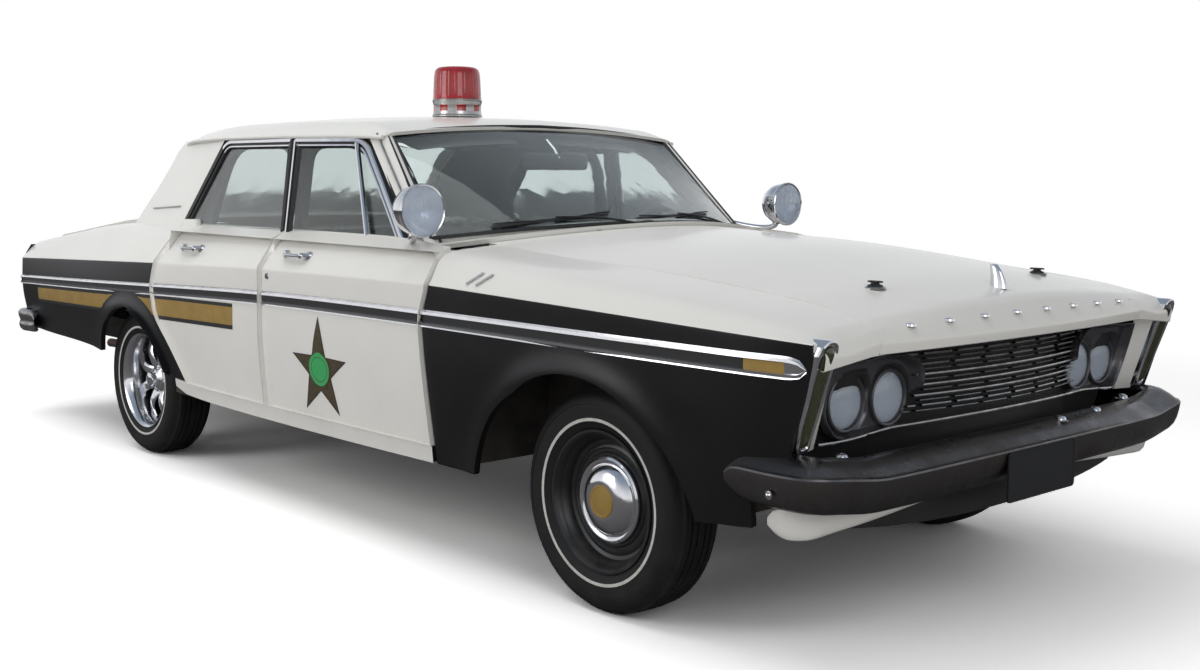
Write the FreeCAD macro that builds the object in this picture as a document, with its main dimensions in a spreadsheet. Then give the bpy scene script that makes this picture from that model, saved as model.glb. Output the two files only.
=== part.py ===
# Police patrol car: a full-size four-door sedan of the early 1960s.
# Millimetres. +X forward, +Y left, +Z up. Origin on the floor, at mid length.
import FreeCAD, Part, Sketcher

import math
import os
import re

V = FreeCAD.Vector
doc = FreeCAD.newDocument("patrol_car")
sheet = doc.addObject("Spreadsheet::Sheet", "Sizes")

# ---------------------------------------------------------------- driving sizes
SIZES = [
    # overall
    ("wheelbase", 2946), ("front_overhang", 870), ("rear_overhang", 1391),
    ("gap", 6), ("seat_gap", 0.3), ("skin", 15), ("glass", 6),
    # wheels and tyres
    ("hub_height", 320), ("tyre_radius", 320), ("tyre_width", 200), ("tread_edge", 28),
    ("shoulder_drop", 14), ("shoulder_edge", 6), ("sidewall_drop", 60), ("bead_in", 22),
    ("rim_radius", 191), ("rim_wall", 10), ("rim_in", 20), ("front_disc_in", 76), ("rear_disc_in", 92),
    ("cap_radius", 122), ("cap_in", 24), ("hub_radius", 55), ("hub_in", 38),
    ("front_wheel_y", 756), ("rear_wheel_y", 752),
    ("front_arch_radius", 463), ("front_arch_drop", 97), ("front_arch_back", 15),
    ("rear_arch_radius", 405), ("rear_arch_drop", 75), ("rear_arch_ahead", 60),
    # body side
    ("sill_top", 383), ("sill_bottom", 325), ("sill_half", 905), ("belt", 1008), ("rail", 1352),
    ("door_inner_y", 790), ("door_front", -690), ("post", 1241), ("door_step", 25),
    ("frame_width", 38), ("leg_share", 1.35), ("frame_depth", 30), ("tail_face", 1330),
    # front end
    ("hood_half", 655), ("hood_rear", -560), ("hood_rear_side", -740), ("hood_thick", 22),
    ("nose_centre", 843), ("nose_side", 800), ("lip_bottom", 808),
    ("nose_turn", 822), ("nose_rise", 110), ("nose_lean", 77),
    ("face_centre", 842), ("face_side", 715), ("face_half", 741),
    ("face_top", 800), ("face_bottom", 565), ("face_rake", 40), ("bar_count", 10), ("bar_height", 6),
    ("grille_half", 360), ("lamp_radius", 73), ("lamp_edge", 110), ("lamp_pitch", 159),
    ("lamp_height", 664), ("lamp_x", 700), ("support_x", 610), ("support_thick", 20),
    # bumpers and plate
    ("bumper_side_y", 936), ("bumper_top", 545), ("bumper_bottom", 425), ("bumper_depth", 95),
    ("rear_bumper_side_y", 900), ("rear_bumper_top", 535), ("rear_bumper_bottom", 425),
    ("rear_bumper_depth", 40), ("valance_side_y", 885), ("valance_bottom", 350), ("valance_depth", 30),
    ("plate_thick", 6), ("plate_half", 170), ("plate_bottom", 335), ("plate_top", 505),
    ("tail_lamp_y", 710), ("tail_lamp_height", 700), ("tail_lamp_radius", 45), ("tail_lamp_depth", 20),
    # greenhouse
    ("shield_base", -690), ("shield_corner", -985), ("shield_foot", -930), ("shield_foot_y", 741),
    ("shield_top", -1268), ("shield_top_y", 678), ("wall_thick", 34),
    ("backlight_base", -340), ("backlight_foot", -190), ("backlight_foot_y", 722),
    ("backlight_top", 218), ("backlight_head", 258), ("backlight_head_y", 676), ("lid_front", -570),
    # floor and cabin
    ("floor_top", 340), ("floor_sheet", 25), ("trunk_floor", 480), ("firewall", -640), ("tunnel_half", 156),
    ("tunnel_top", 476), ("seat_base", 620), ("seat_top", 940), ("seat_back_thick", 100),
    ("front_seat_x", -1250), ("front_seat_depth", 520), ("front_seat_half", 620),
    ("rear_seat_x", 700), ("rear_seat_depth", 520), ("rear_seat_half", 559),
    ("dash_bottom", 760), ("dash_top", 930), ("dash_depth", 220), ("dash_half", 763.7),
    ("steering_y", 370), ("steering_radius", 200), ("steering_tube", 14), ("steering_height", 905),
    ("column_radius", 18), ("column_length", 250),
    # running gear
    ("engine_half", 230), ("engine_bottom", 330), ("engine_top", 860), ("engine_length", 840),
    ("cleaner_radius", 170), ("cleaner_height", 55),
    ("tank_half", 300), ("tank_bottom", 260), ("tank_ahead", -450), ("tank_length", 700),
    ("kingpin_y", 640), ("pin_radius", 12), ("upright_half", 20), ("upright_bottom", 230), ("upright_height", 195),
    ("drum_radius", 135), ("drum_width", 50), ("stub_radius", 22),
    ("axle_radius", 38), ("diff_radius", 140), ("spring_half", 700), ("spring_y", 495), ("spring_width", 50),
    # beacon
    ("beacon_x", -1783), ("beacon_radius", 97), ("beacon_base_height", 62), ("beacon_dome_height", 138),
    ("beacon_seat", 1445.3), ("beacon_taper", 14), ("beacon_flange", 4),
]
for line, (name, value) in enumerate(SIZES, 1):
    sheet.set("A%d" % line, name)
    sheet.set("B%d" % line, str(value))
    sheet.setAlias("B%d" % line, name)
doc.recompute()


def size(name):
    return float(sheet.get(name))


SKIN = size("skin")
GAP = size("gap")
BELT = size("belt")
RAIL = size("rail")
FRONT = (size("wheelbase") + size("rear_overhang") - size("front_overhang")) / 2
REAR = FRONT - size("wheelbase")
HUB = size("hub_height")
CLOSE = size("seat_gap")

# The same two axle places as expressions, for the objects that are bound to the sheet.
X_FRONT = "(wheelbase + rear_overhang - front_overhang) / 2"
X_REAR = "(rear_overhang - front_overhang - wheelbase) / 2"

# ---------------------------------------------------------------- body sections
# Half sections across the car, from the nose to the tail. Columns: the axle the
# place is measured from, x from that axle, then y and z of: bottom edge, widest
# line, trim line, crease, shoulder; last, z of the top seam and on the centre line.
# The seam runs straight along the car at the hood's half width.
COLUMNS = ("x", "y_low", "z_low", "y_wide", "z_wide", "y_trim", "z_trim", "y_crease", "z_crease",
           "y_shoulder", "z_shoulder", "z_seam", "z_mid")
SECTIONS = [
    (FRONT, 860, 842, 400, 862, 600, 868, 774, 872, 834, 800, 838, 846, 886),
    (FRONT, 797, 850, 400, 868, 600, 875, 775, 880, 839, 815, 850, 862, 900),
    (FRONT, 600, 880, 370, 905, 600, 906, 778, 903, 848, 830, 888, 908, 952),
    (FRONT, 100, 905, 331, 935, 620, 930, 782, 930, 868, 850, 932, 955, 1023),
    (FRONT, -400, 908, 331, 938, 620, 935, 785, 934, 882, 862, 960, 975, 1042),
    (FRONT, -690, 912, 331, 940, 620, 936, 785, 935, 890, 868, 984, 1000, 1055),
    (FRONT, -1000, 914, 328, 940, 620, 936, 783, 935, 888, 850, 1008, 1012, 1060),
    (REAR, 1241, 915, 325, 940, 620, 936, 777, 935, 881, 845, 1008, 1012, 1060),
    (REAR, 496, 905, 330, 932, 600, 930, 750, 924, 860, 835, 1005, 1010, 1030),
    (REAR, -354, 880, 435, 915, 590, 916, 719, 905, 829, 800, 985, 1000, 1012),
    (REAR, -1054, 845, 440, 880, 590, 880, 693, 872, 802, 785, 900, 914, 926),
    (REAR, -1330, 820, 445, 852, 600, 856, 682, 850, 790, 772, 866, 880, 893),
]
STATIONS = [dict(zip(COLUMNS, (row[0] + row[1],) + row[2:]), y_seam=size("hood_half")) for row in SECTIONS]

# Roof sections. Columns: axle, x, rail y, rail z, turn y, turn z, crown z.
ROOF_COLUMNS = ("x", "y_rail", "z_rail", "y_turn", "z_turn", "z_crown")
ROOF = [
    (FRONT, -1258, 694, 1350, 640, 1364, 1396),
    (FRONT, -1394, 725, 1356, 645, 1403, 1428),
    (REAR, 1163, 799, 1358, 695, 1408, 1445),
    (REAR, 646, 774, 1356, 685, 1404, 1440),
    (REAR, 334, 732, 1350, 640, 1382, 1414),
    (REAR, 206, 692, 1332, 612, 1354, 1376),
]
ROOF_STATIONS = [dict(zip(ROOF_COLUMNS, (row[0] + row[1],) + row[2:])) for row in ROOF]


def at(stations, x):
    """The section at x, straight between the two stations beside it."""
    for ahead, behind in zip(stations, stations[1:]):
        if x >= behind["x"] or behind is stations[-1]:
            t = (ahead["x"] - x) / (ahead["x"] - behind["x"])
            return {key: ahead[key] + t * (behind[key] - ahead[key]) for key in ahead}


def span(stations, front, back):
    """Sections from front to back, with the stations that lie between."""
    inside = [s["x"] for s in stations if back + 1 < s["x"] < front - 1]
    return [at(stations, x) for x in [front] + inside + [back]]


# ---------------------------------------------------------------- shape helpers
def polygon(points):
    return Part.makePolygon(points + [points[0]])


def loft(sections):
    """A ruled solid through closed outlines of equal length."""
    return Part.makeLoft([polygon(points) for points in sections], True, True)


def prism_y(points_xz, y0, y1):
    """An outline in XZ pushed along Y."""
    face = Part.Face(polygon([V(x, y0, z) for x, z in points_xz]))
    return face.extrude(V(0, y1 - y0, 0))


def prism_x(points_yz, x0, x1):
    face = Part.Face(polygon([V(x0, y, z) for y, z in points_yz]))
    return face.extrude(V(x1 - x0, 0, 0))


def prism_z(points_xy, z0, z1):
    face = Part.Face(polygon([V(x, y, z0) for x, y in points_xy]))
    return face.extrude(V(0, 0, z1 - z0))


def box(x0, x1, y0, y1, z0, z1):
    return Part.makeBox(x1 - x0, y1 - y0, z1 - z0, V(x0, y0, z0))


def rod(start, end, radius):
    path = end - start
    return Part.makeCylinder(radius, path.Length, start, path)


def left(shape):
    """The same shape on the other side of the car."""
    return shape.mirror(V(0, 0, 0), V(0, 1, 0))


def pair(shape):
    return Part.makeCompound([shape, left(shape)])


def band(points_outer, thickness, inward):
    """Closes an outline of points with the same points moved inward."""
    inner = [p + V(0, dy * thickness, dz * thickness) for p, (dy, dz) in zip(points_outer, inward)]
    return points_outer + inner[::-1]


nodes = []


def keep(name, shape):
    """Stores a shape made by Part's functions as a sub-part of the document."""
    feature = doc.addObject("Part::Feature", name)
    feature.Shape = shape
    feature.Placement = FreeCAD.Placement()
    feature.Label = name
    nodes.append(feature)
    return feature


# ---------------------------------------------------------------- pieces bound to the sheet
ALONG_X = FreeCAD.Rotation(V(0, 1, 0), 90)
ALONG_Y = FreeCAD.Rotation(V(1, 0, 0), -90)
ALONG_Z = FreeCAD.Rotation()


def bound(formula):
    """A formula of size names as an expression of the document."""
    return re.sub(r"[a-z][a-z_]+", lambda word: "Sizes." + word.group(), formula)


def bind(item, **formulas):
    for name, formula in formulas.items():
        item.setExpression(name, bound(formula))


def place(item, x, y, z, rotation=ALONG_Z):
    item.Placement = FreeCAD.Placement(V(0, 0, 0), rotation)
    for axis, formula in zip("xyz", (x, y, z)):
        item.setExpression("Placement.Base." + axis, bound(formula))
    return item


def block(name, x, y, z, length, width, height):
    item = doc.addObject("Part::Box", name)
    bind(item, Length=length, Width=width, Height=height)
    return place(item, x, y, z)


def cylinder(name, x, y, z, radius, height, rotation=ALONG_Z):
    item = doc.addObject("Part::Cylinder", name)
    bind(item, Radius=radius, Height=height)
    return place(item, x, y, z, rotation)


def joined(name, pieces, kind="Part::MultiFuse"):
    """Pieces that touch are fused; a Part::Compound holds like pieces that don't."""
    item = doc.addObject(kind, name)
    if kind == "Part::Compound":
        item.Links = pieces
    else:
        item.Shapes = pieces
        item.Refine = True
    return item


def less(name, base, tool):
    item = doc.addObject("Part::Cut", name)
    item.Base, item.Tool = base, tool
    return item


def finished(item):
    """Marks an object of the document as a sub-part; its name is its label."""
    item.Label = item.Name
    nodes.append(item)
    return item


def outline(body, name, plane, points):
    """A closed sketch of straight lines; each corner is a pair of formulas."""
    sketch = body.newObject("Sketcher::SketchObject", name)
    base = [feature for feature in body.Origin.OriginFeatures if feature.Role == plane][0]
    sketch.AttachmentSupport = [(base, "")]
    sketch.MapMode = "FlatFace"
    count = len(points)
    start = [V(math.cos(2 * math.pi * i / count), math.sin(2 * math.pi * i / count), 0) for i in range(count)]
    for i in range(count):
        sketch.addGeometry(Part.LineSegment(start[i], start[(i + 1) % count]), False)
    for i in range(count):
        sketch.addConstraint(Sketcher.Constraint("Coincident", i, 2, (i + 1) % count, 1))
    for i, corner in enumerate(points):
        for kind, formula in zip(("DistanceX", "DistanceY"), corner):
            number = sketch.addConstraint(Sketcher.Constraint(kind, -1, 1, i, 1, 1.0))
            sketch.setExpression("Constraints[%d]" % number, bound(formula))
    return sketch


def turned(name, points, x, y, z):
    """A body turned about its Y axis; each corner is radius and distance along Y."""
    body = doc.addObject("PartDesign::Body", name)
    turn = body.newObject("PartDesign::Revolution", name + "_turn")
    turn.Profile = outline(body, name + "_outline", "XY_Plane", points)
    turn.ReferenceAxis = (turn.Profile[0], ["V_Axis"])
    turn.Angle = 360
    body.Tip = turn
    return place(body, x, y, z)


def padded(name, points, width, x, cut=None, cut_width=None):
    """A body pushed both ways along Y from a side outline, with a slot cut through it."""
    body = doc.addObject("PartDesign::Body", name)
    pad = body.newObject("PartDesign::Pad", name + "_pad")
    pad.Profile = outline(body, name + "_outline", "XZ_Plane", points)
    pad.Midplane = True
    bind(pad, Length=width)
    body.Tip = pad
    if cut:
        slot = body.newObject("PartDesign::Pocket", name + "_slot")
        slot.Profile = outline(body, name + "_cut", "XZ_Plane", cut)
        slot.Midplane = True
        bind(slot, Length=cut_width)
        body.Tip = slot
    return place(body, x, "0", "0")


# ---------------------------------------------------------------- body side skins
SIDE_INWARD = [(1, 0), (1, 0), (1, 0), (1, -0.3), (0.7, -0.9), (0, -1)]


def side_points(s):
    """Outer points on the right side, from the bottom edge to the top seam."""
    names = ("low", "wide", "trim", "crease", "shoulder", "seam")
    return [V(s["x"], -s["y_" + n], s["z_" + n]) for n in names]


def side_skin(front, back):
    return loft([band(side_points(s), SKIN, SIDE_INWARD) for s in span(STATIONS, front, back)])


def side_fill(front, back, depth):
    """The space inside the right side skin, from a depth under its outer face to the middle."""
    sections = []
    for s in span(STATIONS, front, back):
        outer = side_points(s)
        inner = [p + V(0, dy * depth, dz * depth) for p, (dy, dz) in zip(outer, SIDE_INWARD)]
        sections.append(inner + [V(s["x"], 0, inner[-1].z), V(s["x"], 0, inner[0].z)])
    return loft(sections)


def arch(axle, name, forward):
    centre = V(axle + forward, -1200, HUB - size(name + "_arch_drop"))
    return Part.makeCylinder(size(name + "_arch_radius"), 2400, centre, V(0, 1, 0))


door_front_x = FRONT + size("door_front")
post_x = REAR + size("post")
nose_x = FRONT + size("front_overhang")
tail_x = REAR - size("rear_overhang")

front_arch = arch(FRONT, "front", -size("front_arch_back"))
rear_arch = arch(REAR, "rear", size("rear_arch_ahead"))


def front_wire(centre_x, side_x, half, x_back, z):
    """The outline, at a height, of everything behind a bowed line across the car."""
    edge = Part.Arc(V(side_x, -half, z), V(centre_x, 0, z), V(side_x, half, z)).toShape()
    rest = Part.makePolygon([V(side_x, half, z), V(x_back, half, z), V(x_back, -half, z), V(side_x, -half, z)])
    return Part.Wire([edge] + rest.Edges)


def plan_front(centre_x, side_x, half, x_back, z0, z1):
    """Everything behind a bowed line across the car, as a solid."""
    return Part.Face(front_wire(centre_x, side_x, half, x_back, z0)).extrude(V(0, 0, z1 - z0))


fender_front = FRONT + size("nose_side") - 3
fender = side_skin(fender_front, door_front_x + GAP).cut(front_arch)
seam_clear = box(door_front_x, nose_x, -size("hood_half") - GAP, 0, 700, 1100)
behind_bumper = box(FRONT + 610, nose_x, -1200, 0, 200, size("bumper_top") + GAP)
fender = fender.cut(seam_clear).cut(behind_bumper)
keep("fender_right", fender)
keep("fender_left", left(fender))

# Rear door outline in XZ, with the sloping edge that follows the wheel arch
door_low = size("sill_top") + GAP
REAR_EDGE = [(400, 1012), (400, 970), (352, 855), (317, 760), (350, 636), (600, door_low)]
rear_edge = [(REAR + dx, z) for dx, z in REAR_EDGE]

tail_face = REAR - size("tail_face")
quarter = side_skin(rear_edge[-1][0] + 36, tail_face).cut(rear_arch)
door_space = [(x - GAP, z) for x, z in rear_edge]
door_space = [(post_x, 1100), (door_space[0][0], 1100)] + door_space + [(door_space[-1][0], 300), (post_x, 300)]
quarter = quarter.cut(prism_y(door_space, -1200, 0))
quarter = quarter.cut(box(REAR + 330, post_x, -1200, 0, 200, size("sill_top")))
keep("quarter_right", quarter)
keep("quarter_left", left(quarter))


# ---------------------------------------------------------------- doors
def door_shell(front, back):
    """Lower door: outer skin to inner face as one thick solid, swept back at its rear edge."""
    sections = []
    for s in span(STATIONS, front, back):
        outer = side_points(s)[:5]
        inner_y = -size("door_inner_y")
        sections.append(outer + [V(s["x"], inner_y, s["z_shoulder"]), V(s["x"], inner_y, s["z_low"])])
    shell = loft(sections)
    return shell.cut(box(back - 10, front + 10, -1200, 0, 200, door_low))


# Greenhouse side. Columns: lower x, y, z, upper x, y, z of the outer face.
SIDE_GLASS = [
    (FRONT - 900, 813, BELT - 30, FRONT - 1290, 694, RAIL + 9),
    (post_x, 845, BELT - 30, post_x, 797, RAIL + 9),
    (REAR + 374, 830, BELT - 30, REAR + 700, 775, RAIL + 9),
    (REAR - 300, 738, BELT - 30, REAR + 226, 700, RAIL + 9),
    (REAR - 560, 712, BELT - 30, REAR - 20, 679, RAIL + 9),
]


def side_slab(depth_out, depth_in):
    """The leaning side wall between two depths under its outer face."""
    sections = []
    for x0, y0, z0, x1, y1, z1 in SIDE_GLASS:
        sections.append([V(x0, -y0 + depth_out, z0), V(x1, -y1 + depth_out, z1),
                         V(x1, -y1 + depth_in, z1), V(x0, -y0 + depth_in, z0)])
    return loft(sections)


FRAME = size("frame_width")
low = BELT - 25
front_window = [(FRONT - 965, low), (FRONT - 1348, RAIL - 6), (post_x + 4, RAIL - 6), (post_x + 4, low)]
rear_window_outline = [(post_x - 4, low), (post_x - 4, RAIL - 6), (REAR + 694, RAIL - 6), (REAR + 374, low)]


def along(low_end, high_end, z):
    """The x of a sloping edge at height z."""
    t = (z - low_end[1]) / (high_end[1] - low_end[1])
    return low_end[0] + t * (high_end[0] - low_end[0])


def opening(outline, front, back, top):
    """The hole in a window frame: lower and upper front corner, upper and lower back corner."""
    a, b, c, d = outline
    z0, z1 = BELT - 4, b[1] - top
    return [(along(a, b, z0) - front, z0), (along(a, b, z1) - front, z1),
            (along(d, c, z1) + back, z1), (along(d, c, z0) + back, z0)]


def door(name, front, back, outline, edge=None):
    shell = door_shell(front, back)
    frame = side_slab(0, size("frame_depth")).common(prism_y(outline, -1000, -500))
    if edge:
        cutter = [(x, z) for x, z in edge] + [(back - 200, door_low - 5), (back - 200, 1100), (edge[0][0], 1100)]
        shell = shell.cut(prism_y(cutter, -1200, 0))
        frame = frame.cut(prism_y(cutter, -1200, 0))
        inner_cutter = [(x + size("door_step"), z) for x, z in cutter]
        shell = shell.cut(prism_y(inner_cutter, -895, 0))
    sweep = [(back - 5, -size("door_inner_y") - 130), (back - 5, -600), (back + 22, -600)]
    if not edge:
        shell = shell.cut(prism_z(sweep, 200, 1100))
    leaning = FRAME * size("leg_share")
    hole = opening(outline, *((FRAME, leaning) if edge else (leaning, FRAME)), FRAME)
    frame = frame.cut(prism_y(hole, -1000, -500))
    solid = shell.fuse(frame)
    for z in (470, 790):
        if edge:
            leaf = box(front - 60, front - 12, -size("door_inner_y") - 2, -783.3, z, z + 70)
        else:
            leaf = box(front - 5, front + GAP - 0.3, -870, -800, z, z + 70)
        solid = solid.fuse(leaf)
    solid = solid.removeSplitter()
    keep(name + "_right", solid)
    keep(name + "_left", left(solid))
    pane = side_slab(size("frame_depth") / 2 - size("glass") / 2, size("frame_depth") / 2 + size("glass") / 2)
    pane = pane.common(prism_y(hole, -1000, -500)).cut(shell)
    keep(name + "_glass_right", pane)
    keep(name + "_glass_left", left(pane))


door("front_door", door_front_x, post_x + GAP / 2, front_window)
door("rear_door", post_x - GAP / 2, REAR + 300, rear_window_outline, rear_edge)


# ---------------------------------------------------------------- hood, cowl, deck, trunk lid
def top_outline(s, half, drop):
    """Top panel outline across the car: bowed top, level underside."""
    return s["x"], half, s["z_seam"] - drop, s["z_mid"] - drop


def top_panel(front, back, half, thickness):
    """A bowed sheet across the car between two places."""
    wires = []
    for s in span(STATIONS, front, back):
        x, y, z_side, z_mid = top_outline(s, half, 0)
        upper = Part.Arc(V(x, -y, z_side), V(x, 0, z_mid), V(x, y, z_side)).toShape()
        lower = Part.Arc(V(x, y, z_side - thickness), V(x, 0, z_mid - thickness),
                         V(x, -y, z_side - thickness)).toShape()
        sides = [Part.makeLine(V(x, y, z_side), V(x, y, z_side - thickness)),
                 Part.makeLine(V(x, -y, z_side - thickness), V(x, -y, z_side))]
        wires.append(Part.Wire([upper, sides[0], lower, sides[1]]))
    return Part.makeLoft(wires, True, True)


hood_half = size("hood_half")
hood_rear_mid = FRONT + size("hood_rear")
hood_rear_side = FRONT + size("hood_rear_side")
nose_line = (FRONT + size("nose_centre"), FRONT + size("nose_side") - 20)
nose_turn, nose_lean = size("nose_turn"), size("nose_lean")
hood_plan = plan_front(*nose_line, hood_half, hood_rear_side - 200, 600, nose_turn)
sloping_nose = Part.makeLoft([
    front_wire(*nose_line, hood_half, hood_rear_side - 200, nose_turn),
    front_wire(*(x - nose_lean for x in nose_line), hood_half, hood_rear_side - 200, nose_turn + size("nose_rise"))],
    True, True)
above_nose = box(hood_rear_side - 200, nose_line[1] - nose_lean, -hood_half, hood_half,
                 nose_turn + size("nose_rise"), 1200)
hood_plan = hood_plan.fuse(sloping_nose).fuse(above_nose)
hood_back = plan_front(hood_rear_mid, hood_rear_side, 700, hood_rear_side - 600, 500, 1300)
hood_sheet = top_panel(FRONT + 859, hood_rear_side - 10, hood_half, 22)
hood_under = top_panel(FRONT + 400, hood_rear_side - 10, hood_half, 22)
hood_under.translate(V(0, 0, -0.3))
hood_under = hood_under.fuse(box(hood_rear_side, FRONT + 400, -700, 700, 1000, 1200))
lip_inner = plan_front(FRONT + size("nose_centre") - 30, FRONT + size("nose_side") - 50, hood_half + 5,
                       hood_rear_side - 300, 500, 1300)
hood_block = top_panel(FRONT + 859, FRONT + 600, hood_half, 150)
lip = hood_block.common(box(0, nose_x, -hood_half, hood_half, size("lip_bottom"), 1100)).cut(lip_inner)
hood = hood_sheet.fuse(lip).common(hood_plan).cut(hood_back).removeSplitter()
keep("hood", hood)

# Cowl: closes the body between the hood and the windshield, inside the doors
cowl_half = size("door_inner_y") - GAP
cowl_wires = []
for s in span(STATIONS, hood_rear_mid, FRONT - 1000):
    x, z = s["x"], s["z_seam"]
    slope = (s["z_shoulder"] - z) / (s["y_shoulder"] - hood_half)
    edge = z + slope * (cowl_half - hood_half)
    corners = [V(x, hood_half, z), V(x, cowl_half, edge), V(x, cowl_half, edge - 50), V(x, -cowl_half, edge - 50),
               V(x, -cowl_half, edge), V(x, -hood_half, z)]
    crown = Part.Arc(V(x, -hood_half, z), V(x, 0, s["z_mid"]), V(x, hood_half, z)).toShape()
    cowl_wires.append(Part.Wire([crown] + Part.makePolygon(corners).Edges))
cowl_sheet = Part.makeLoft(cowl_wires, True, True)
cowl_back = plan_front(hood_rear_mid - GAP, hood_rear_side - GAP, 700, hood_rear_side - 700, 500, 1300)
cowl_back = cowl_back.fuse(box(FRONT - 1100, hood_rear_side - GAP, -900, 900, 500, 1300))
shield_line = plan_front(FRONT + size("shield_base") - 14, FRONT + size("shield_corner") - 14, 900,
                         FRONT - 1600, 500, 1300)
beside_hood = box(door_front_x + GAP - 0.3, nose_x, hood_half + GAP - 0.3, 900, 800, 1100)
cowl = cowl_sheet.common(cowl_back).cut(shield_line).cut(beside_hood).cut(left(beside_hood))
keep("cowl", cowl)

lid_front = REAR + size("lid_front")
lid_rear = tail_face
deck = top_panel(REAR - 120, lid_front + GAP, hood_half, 30)
deck_keep = plan_front(REAR + size("backlight_base") + 10, REAR + size("backlight_foot"), size("backlight_foot_y"),
                       REAR - 1000, 500, 1300)
lid = top_panel(lid_front, lid_rear, hood_half - GAP, 22)
lid_space = lid.copy()
lid_space.translate(V(0, 0, -0.3))
deck = deck.common(deck_keep)
lid_hinge = box(lid_front - 50, lid_front + 40, -620, -560, 900, 1000).cut(lid_space).cut(lid).cut(
    box(lid_front - 60, lid_front + GAP, -700, 0, 955, 1100))
deck = deck.fuse(lid_hinge).fuse(left(lid_hinge)).removeSplitter()
keep("rear_deck", deck)
lid_skirt = box(lid_rear, lid_rear + 22, -hood_half + GAP, hood_half - GAP, 650, 870)
keep("trunk_lid", lid.fuse(lid_skirt).removeSplitter())

# ---------------------------------------------------------------- roof and pillars
floor_top = size("floor_top")
roof_wires = []
for s in ROOF_STATIONS:
    x = s["x"]
    y_rail, y_turn = s["y_rail"], s["y_turn"]
    top = Part.Arc(V(x, -y_turn, s["z_turn"]), V(x, 0, s["z_crown"]), V(x, y_turn, s["z_turn"])).toShape()
    low = Part.Arc(V(x, y_turn - 25, s["z_rail"] + 4), V(x, 0, s["z_crown"] - 30),
                   V(x, -y_turn + 25, s["z_rail"] + 4)).toShape()
    ends = [V(x, y_turn, s["z_turn"]), V(x, y_rail, s["z_rail"] + 12), V(x, y_rail, s["z_rail"]),
            V(x, y_turn - 25, s["z_rail"] + 4)]
    right_ends = [V(p.x, -p.y, p.z) for p in ends[::-1]]
    roof_wires.append(Part.Wire([top] + Part.makePolygon(ends).Edges + [low] + Part.makePolygon(right_ends).Edges))
roof_panel = Part.makeLoft(roof_wires, True, True)

side_wall = side_slab(0, size("wall_thick"))


rear_leg = (rear_window_outline[3], rear_window_outline[2])
SAIL_EDGE = [(226, 1345), (156, 1308), (110, 1256), (-8, 1150), (-95, 1086), (-207, 998), (-265, 948)]
c_outline = [(along(*rear_leg, BELT - 60) - GAP * 1.2, BELT - 60), (along(*rear_leg, RAIL + 5) - GAP * 1.2, RAIL + 5),
             (REAR + 240, RAIL + 5)] + [(REAR + dx, z) for dx, z in SAIL_EDGE]
c_pillar = side_wall.common(prism_y(c_outline, -1000, -500))
a_pillar = loft([
    [V(FRONT - 900, -748, 985), V(FRONT - 957, -cowl_half, 985), V(FRONT - 957, -cowl_half + 40, 985),
     V(FRONT - 900, -cowl_half + 80, 985)],
    [V(FRONT - 1268, -684, RAIL + 12), V(FRONT - 1352, -706, RAIL + 12), V(FRONT - 1352, -664, RAIL + 12),
     V(FRONT - 1268, -644, RAIL + 12)]])
b_pillar = loft([
    [V(post_x + 35, -783, floor_top), V(post_x - 35, -783, floor_top), V(post_x - 35, -735, floor_top),
     V(post_x + 35, -735, floor_top)],
    [V(post_x + 35, -783, BELT), V(post_x - 35, -783, BELT), V(post_x - 35, -735, BELT), V(post_x + 35, -735, BELT)],
    [V(post_x + 30, -746, RAIL + 20), V(post_x - 30, -746, RAIL + 20), V(post_x - 30, -700, RAIL + 20),
     V(post_x + 30, -700, RAIL + 20)]])
roof = roof_panel
quarter_block = loft([[V(s["x"], -s["y_shoulder"] - 60, s["z_shoulder"] - 66), V(s["x"], -s["y_shoulder"], s["z_shoulder"]),
                       V(s["x"], -s["y_seam"], s["z_seam"]), V(s["x"], -s["y_seam"], 700),
                       V(s["x"], -s["y_shoulder"] - 60, 700)] for s in span(STATIONS, REAR + 700, REAR - 600)])
c_pillar = c_pillar.cut(quarter_block)
for piece in (c_pillar, a_pillar.cut(cowl), b_pillar):
    roof = roof.fuse(piece).fuse(left(piece))
keep("roof", roof.removeSplitter())


def curved_pane(base_mid, base_side, top_mid, top_side, thickness):
    """Glass bowed across the car; each argument is a point, y counts on the side points."""
    edges = [Part.Arc(side, mid, V(side.x, -side.y, side.z)).toShape()
             for mid, side in ((base_mid, base_side), (top_mid, top_side))]
    return Part.makeRuledSurface(*edges).extrude(V(-thickness, 0, 0))


shield = curved_pane(V(FRONT + size("shield_base"), 0, 1062),
                     V(FRONT + size("shield_foot"), -size("shield_foot_y"), BELT + 2),
                     V(FRONT + size("shield_top"), 0, 1390),
                     V(FRONT + size("shield_top") - 6, -size("shield_top_y"), RAIL), size("glass"))
keep("windshield", shield.cut(roof).cut(cowl))
backlight = curved_pane(V(REAR + size("backlight_base"), 0, 1016),
                        V(REAR + size("backlight_foot"), -size("backlight_foot_y"), 1002),
                        V(REAR + size("backlight_top"), 0, 1358),
                        V(REAR + size("backlight_head"), -size("backlight_head_y"), RAIL - 7), size("glass"))
keep("rear_window", backlight.cut(roof).cut(deck))

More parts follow.
